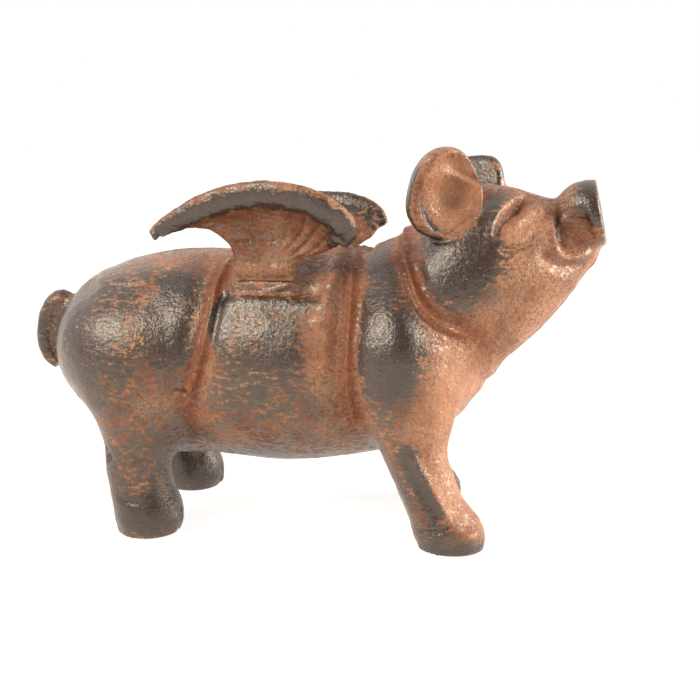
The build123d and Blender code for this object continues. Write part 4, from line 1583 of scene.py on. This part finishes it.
@dataclass
class Studio:
    """Pale floor, soft lamps, a white surround and the camera, in metres.

    The lamps' rows are (name, azimuth, elevation, size, power).
    """

    azimuth: float = 14.0
    elevation: float = 12.0
    roll: float = 1.5
    distance: float = 0.220
    aim: Point = (0.0107, 0.0, 0.0378)
    focal_px: float = 1025.0
    picture_px: float = 700.0
    sensor: float = 36.0
    lamp_colour: str = "#FFEFD8"
    lamp_distance: float = 0.45
    lamps: tuple[tuple[str, float, float, float, float], ...] = (
        ("window_softbox", -40.0, 36.0, 0.19, 2.1),
        ("front_softbox", 100.0, 14.0, 0.32, 4.2),
        ("rear_softbox", -128.0, 16.0, 0.30, 0.15),
    )
    white: str = "#FFFFFF"
    paper: str = "#C8BEB0"
    floor_half: float = 3.0
    # Distances from the middle between which the floor's glow rises, and its strengths there
    floor_fade: Pair = (0.1, 0.5)
    floor_glow: Pair = (0.88, 0.98)
    tent_colour: str = "#FFF0DC"
    tent_strength: float = 0.15
    # Nearness to the camera's side between which the mirrored white dims, and its strengths
    mirror_fade: Pair = (0.1, 0.6)
    mirror_glow: Pair = (1.0, 0.35)

    @staticmethod
    def way(azimuth: float, elevation: float) -> Vector:
        """Give the direction at an azimuth from the pig's right side and at an elevation."""
        a, e = math.radians(azimuth), math.radians(elevation)
        return Vector((math.sin(a) * math.cos(e), -math.cos(a) * math.cos(e), math.sin(e)))

    def directions(self) -> tuple[Vector, Vector, Vector]:
        """Give the directions from the aim to the camera, to its right and up."""
        a = math.radians(self.azimuth)
        back = self.way(self.azimuth, self.elevation)
        right = Vector((math.cos(a), math.sin(a), 0))
        return back, right, back.cross(right)

    def camera(self) -> None:
        """Set the camera up at the photograph's viewing angle."""
        back, right, up = self.directions()
        c, s = math.cos(math.radians(self.roll)), math.sin(math.radians(self.roll))
        right, up = right * c - up * s, right * s + up * c
        data = bpy.data.cameras.new("camera")
        data.sensor_width = self.sensor
        data.lens = self.focal_px / self.picture_px * self.sensor
        data.clip_start = 0.01
        camera = shown("camera", data)
        turn = Matrix((right, up, back)).transposed().to_4x4()
        camera.matrix_world = Matrix.Translation(Vector(self.aim) + back * self.distance) @ turn
        bpy.context.scene.camera = camera

    def lamp(self, name: str, azimuth: float, elevation: float, size: float, power: float) -> None:
        """Hang a soft square lamp round the object, aimed at its middle."""
        way = self.way(azimuth, elevation)
        data = bpy.data.lights.new(name, "AREA")
        data.size = size
        data.energy = power
        data.color = linear(self.lamp_colour)[:3]
        holder = shown(name, data)
        holder.location = Vector(self.aim) + way * self.lamp_distance
        holder.rotation_euler = way.to_track_quat("Z", "Y").to_euler()

    def floor(self) -> None:
        """Lay a pale floor that keeps the object's shadow."""
        bm = bmesh.new()
        bmesh.ops.create_grid(bm, x_segments=1, y_segments=1, size=self.floor_half)
        mesh = bpy.data.meshes.new("floor")
        bm.to_mesh(mesh)
        bm.free()
        material = bpy.data.materials.new("pale_paper_floor")
        tree = emptied(material)
        known = {
            "place": node(tree, "ShaderNodeTexCoord", {}, {}).outputs["Object"],
            "seen": self.seen_rays(tree),
        }
        white = linear(self.white)
        table = {
            "strength": ("graded", ("length", "place"), *self.floor_fade, *self.floor_glow),
            "light": ("either", "seen", ("glow", white, 0.0), ("glow", white, "strength")),
            "surface": ("both", ("matte", linear(self.paper)), "light"),
        }
        surface = tabled(tree, table, known)["surface"]
        node(tree, "ShaderNodeOutputMaterial", {}, {"Surface": surface})
        mesh.materials.append(material)
        floor = shown("floor", mesh)

    @staticmethod
    def seen_rays(tree: Tree) -> Socket:
        """Give 1 for rays that show the background: straight, mirrored or through glass."""
        rays = node(tree, "ShaderNodeLightPath", {}, {}).outputs
        either = ("larger", rays["Is Camera Ray"], rays["Is Glossy Ray"])
        return wired(tree, ("larger", either, rays["Is Transmission Ray"]), {})

    def surround(self) -> None:
        """Close the object in a tent, white where it is seen straight, dim in reflections."""
        world = bpy.data.worlds.new("white_tent")
        tree = emptied(world)
        known = {
            "place": node(tree, "ShaderNodeTexCoord", {}, {}).outputs["Generated"],
            "straight": node(tree, "ShaderNodeLightPath", {}, {}).outputs["Is Camera Ray"],
            "seen": self.seen_rays(tree),
        }
        nearness = ("facing", "place", tuple(self.directions()[0]))
        table = {
            "mirrored": ("graded", nearness, *self.mirror_fade, *self.mirror_glow),
            "strength": ("larger", "mirrored", "straight"),
            "light": ("backdrop", linear(self.tent_colour), self.tent_strength),
            "white": ("backdrop", linear(self.white), "strength"),
            "surface": ("either", "seen", "light", "white"),
        }
        surface = tabled(tree, table, known)["surface"]
        node(tree, "ShaderNodeOutputWorld", {}, {"Surface": surface})
        bpy.context.scene.world = world

    def build(self) -> None:
        """Set up the floor, the lamps, the surround and the camera."""
        self.floor()
        self.surround()
        for row in self.lamps:
            self.lamp(*row)
        self.camera()


def dressed(
    mesh: Mesh, name: str, side: Side, finish: Material, node_name: str
) -> bpy.types.Object:
    """Finish a sculpted mesh as a piece of the figure.

    Args:
        mesh: The mesh in millimetres, outward along +Y.
        name: Name of the piece.
        side: Side that it belongs to; the right one is turned over.
        finish: Its material.
        node_name: CAD node that it stands for.

    Returns:
        The piece.
    """
    bm = bmesh.new()
    bm.from_mesh(mesh)
    bmesh.ops.scale(bm, vec=(METRE, METRE * side.value, METRE), verts=bm.verts)
    if side is Side.RIGHT:
        bmesh.ops.reverse_faces(bm, faces=bm.faces)
    for face in bm.faces:
        face.smooth = True
    bm.to_mesh(mesh)
    bm.free()
    mesh.name = name
    mesh.materials.clear()
    mesh.materials.append(finish)
    piece = shown(name, mesh)
    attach(piece, "root")
    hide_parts(node_name)
    LOG.info("%s: %d faces", name, len(mesh.polygons))
    return piece


def main() -> None:
    """Build the figure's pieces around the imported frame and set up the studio."""
    logging.basicConfig(level=logging.INFO, format="%(name)s %(message)s")
    for thing in list(bpy.data.objects):
        bpy.data.objects.remove(thing)
    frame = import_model()
    coarse = 1.0
    iron = PaintedCastIron().make()
    steel = ZincPlatedSteel().make()
    halves = (
        HalfCasting(Side.RIGHT, HALF_VOXEL * coarse, 11),
        HalfCasting(
            Side.LEFT,
            HALF_VOXEL * coarse,
            21,
            hind_setback=2.0,
            front_setback=8.6,
            ear_drop=2.4,
            ear_advance=2.7,
            wing_setback=LEFT_WING_SETBACK,
            ear_power=3.6,
            ear_black=0.8,
            chin_lip=1.05,
        ),
    )
    left_foot = FOOT_FORWARD - LEFT_WING_SETBACK
    wings = (
        Wing(Side.RIGHT, FOOT_FORWARD, RIGHT_RIM, RIGHT_ROOT, WING_VOXEL * coarse, 31),
        Wing(Side.LEFT, left_foot, LEFT_RIM, LEFT_ROOT, WING_VOXEL * coarse, 36),
    )
    for form, part in [(half, "half") for half in halves] + [(wing, "wing") for wing in wings]:
        mesh = form.build()
        form.paint(mesh)
        side = form.side.name.lower()
        dressed(mesh, f"{side}_{part}_casting", form.side, iron, f"{side}_{part}")
    tail = Tail(TAIL_VOXEL * coarse)
    mesh = tail.build()
    tail.paint(mesh)
    dressed(mesh, "tail_casting", Side.LEFT, iron, "tail")
    for name, piece in frame["nodes"].items():
        if "screw" in name or "washer" in name:
            piece.material_slots[0].material = steel
            LOG.info("%s: CAD node kept", name)
    Studio().build()
    bpy.context.scene.view_settings.view_transform = "Standard"


if __name__ == "__main__":
    main()
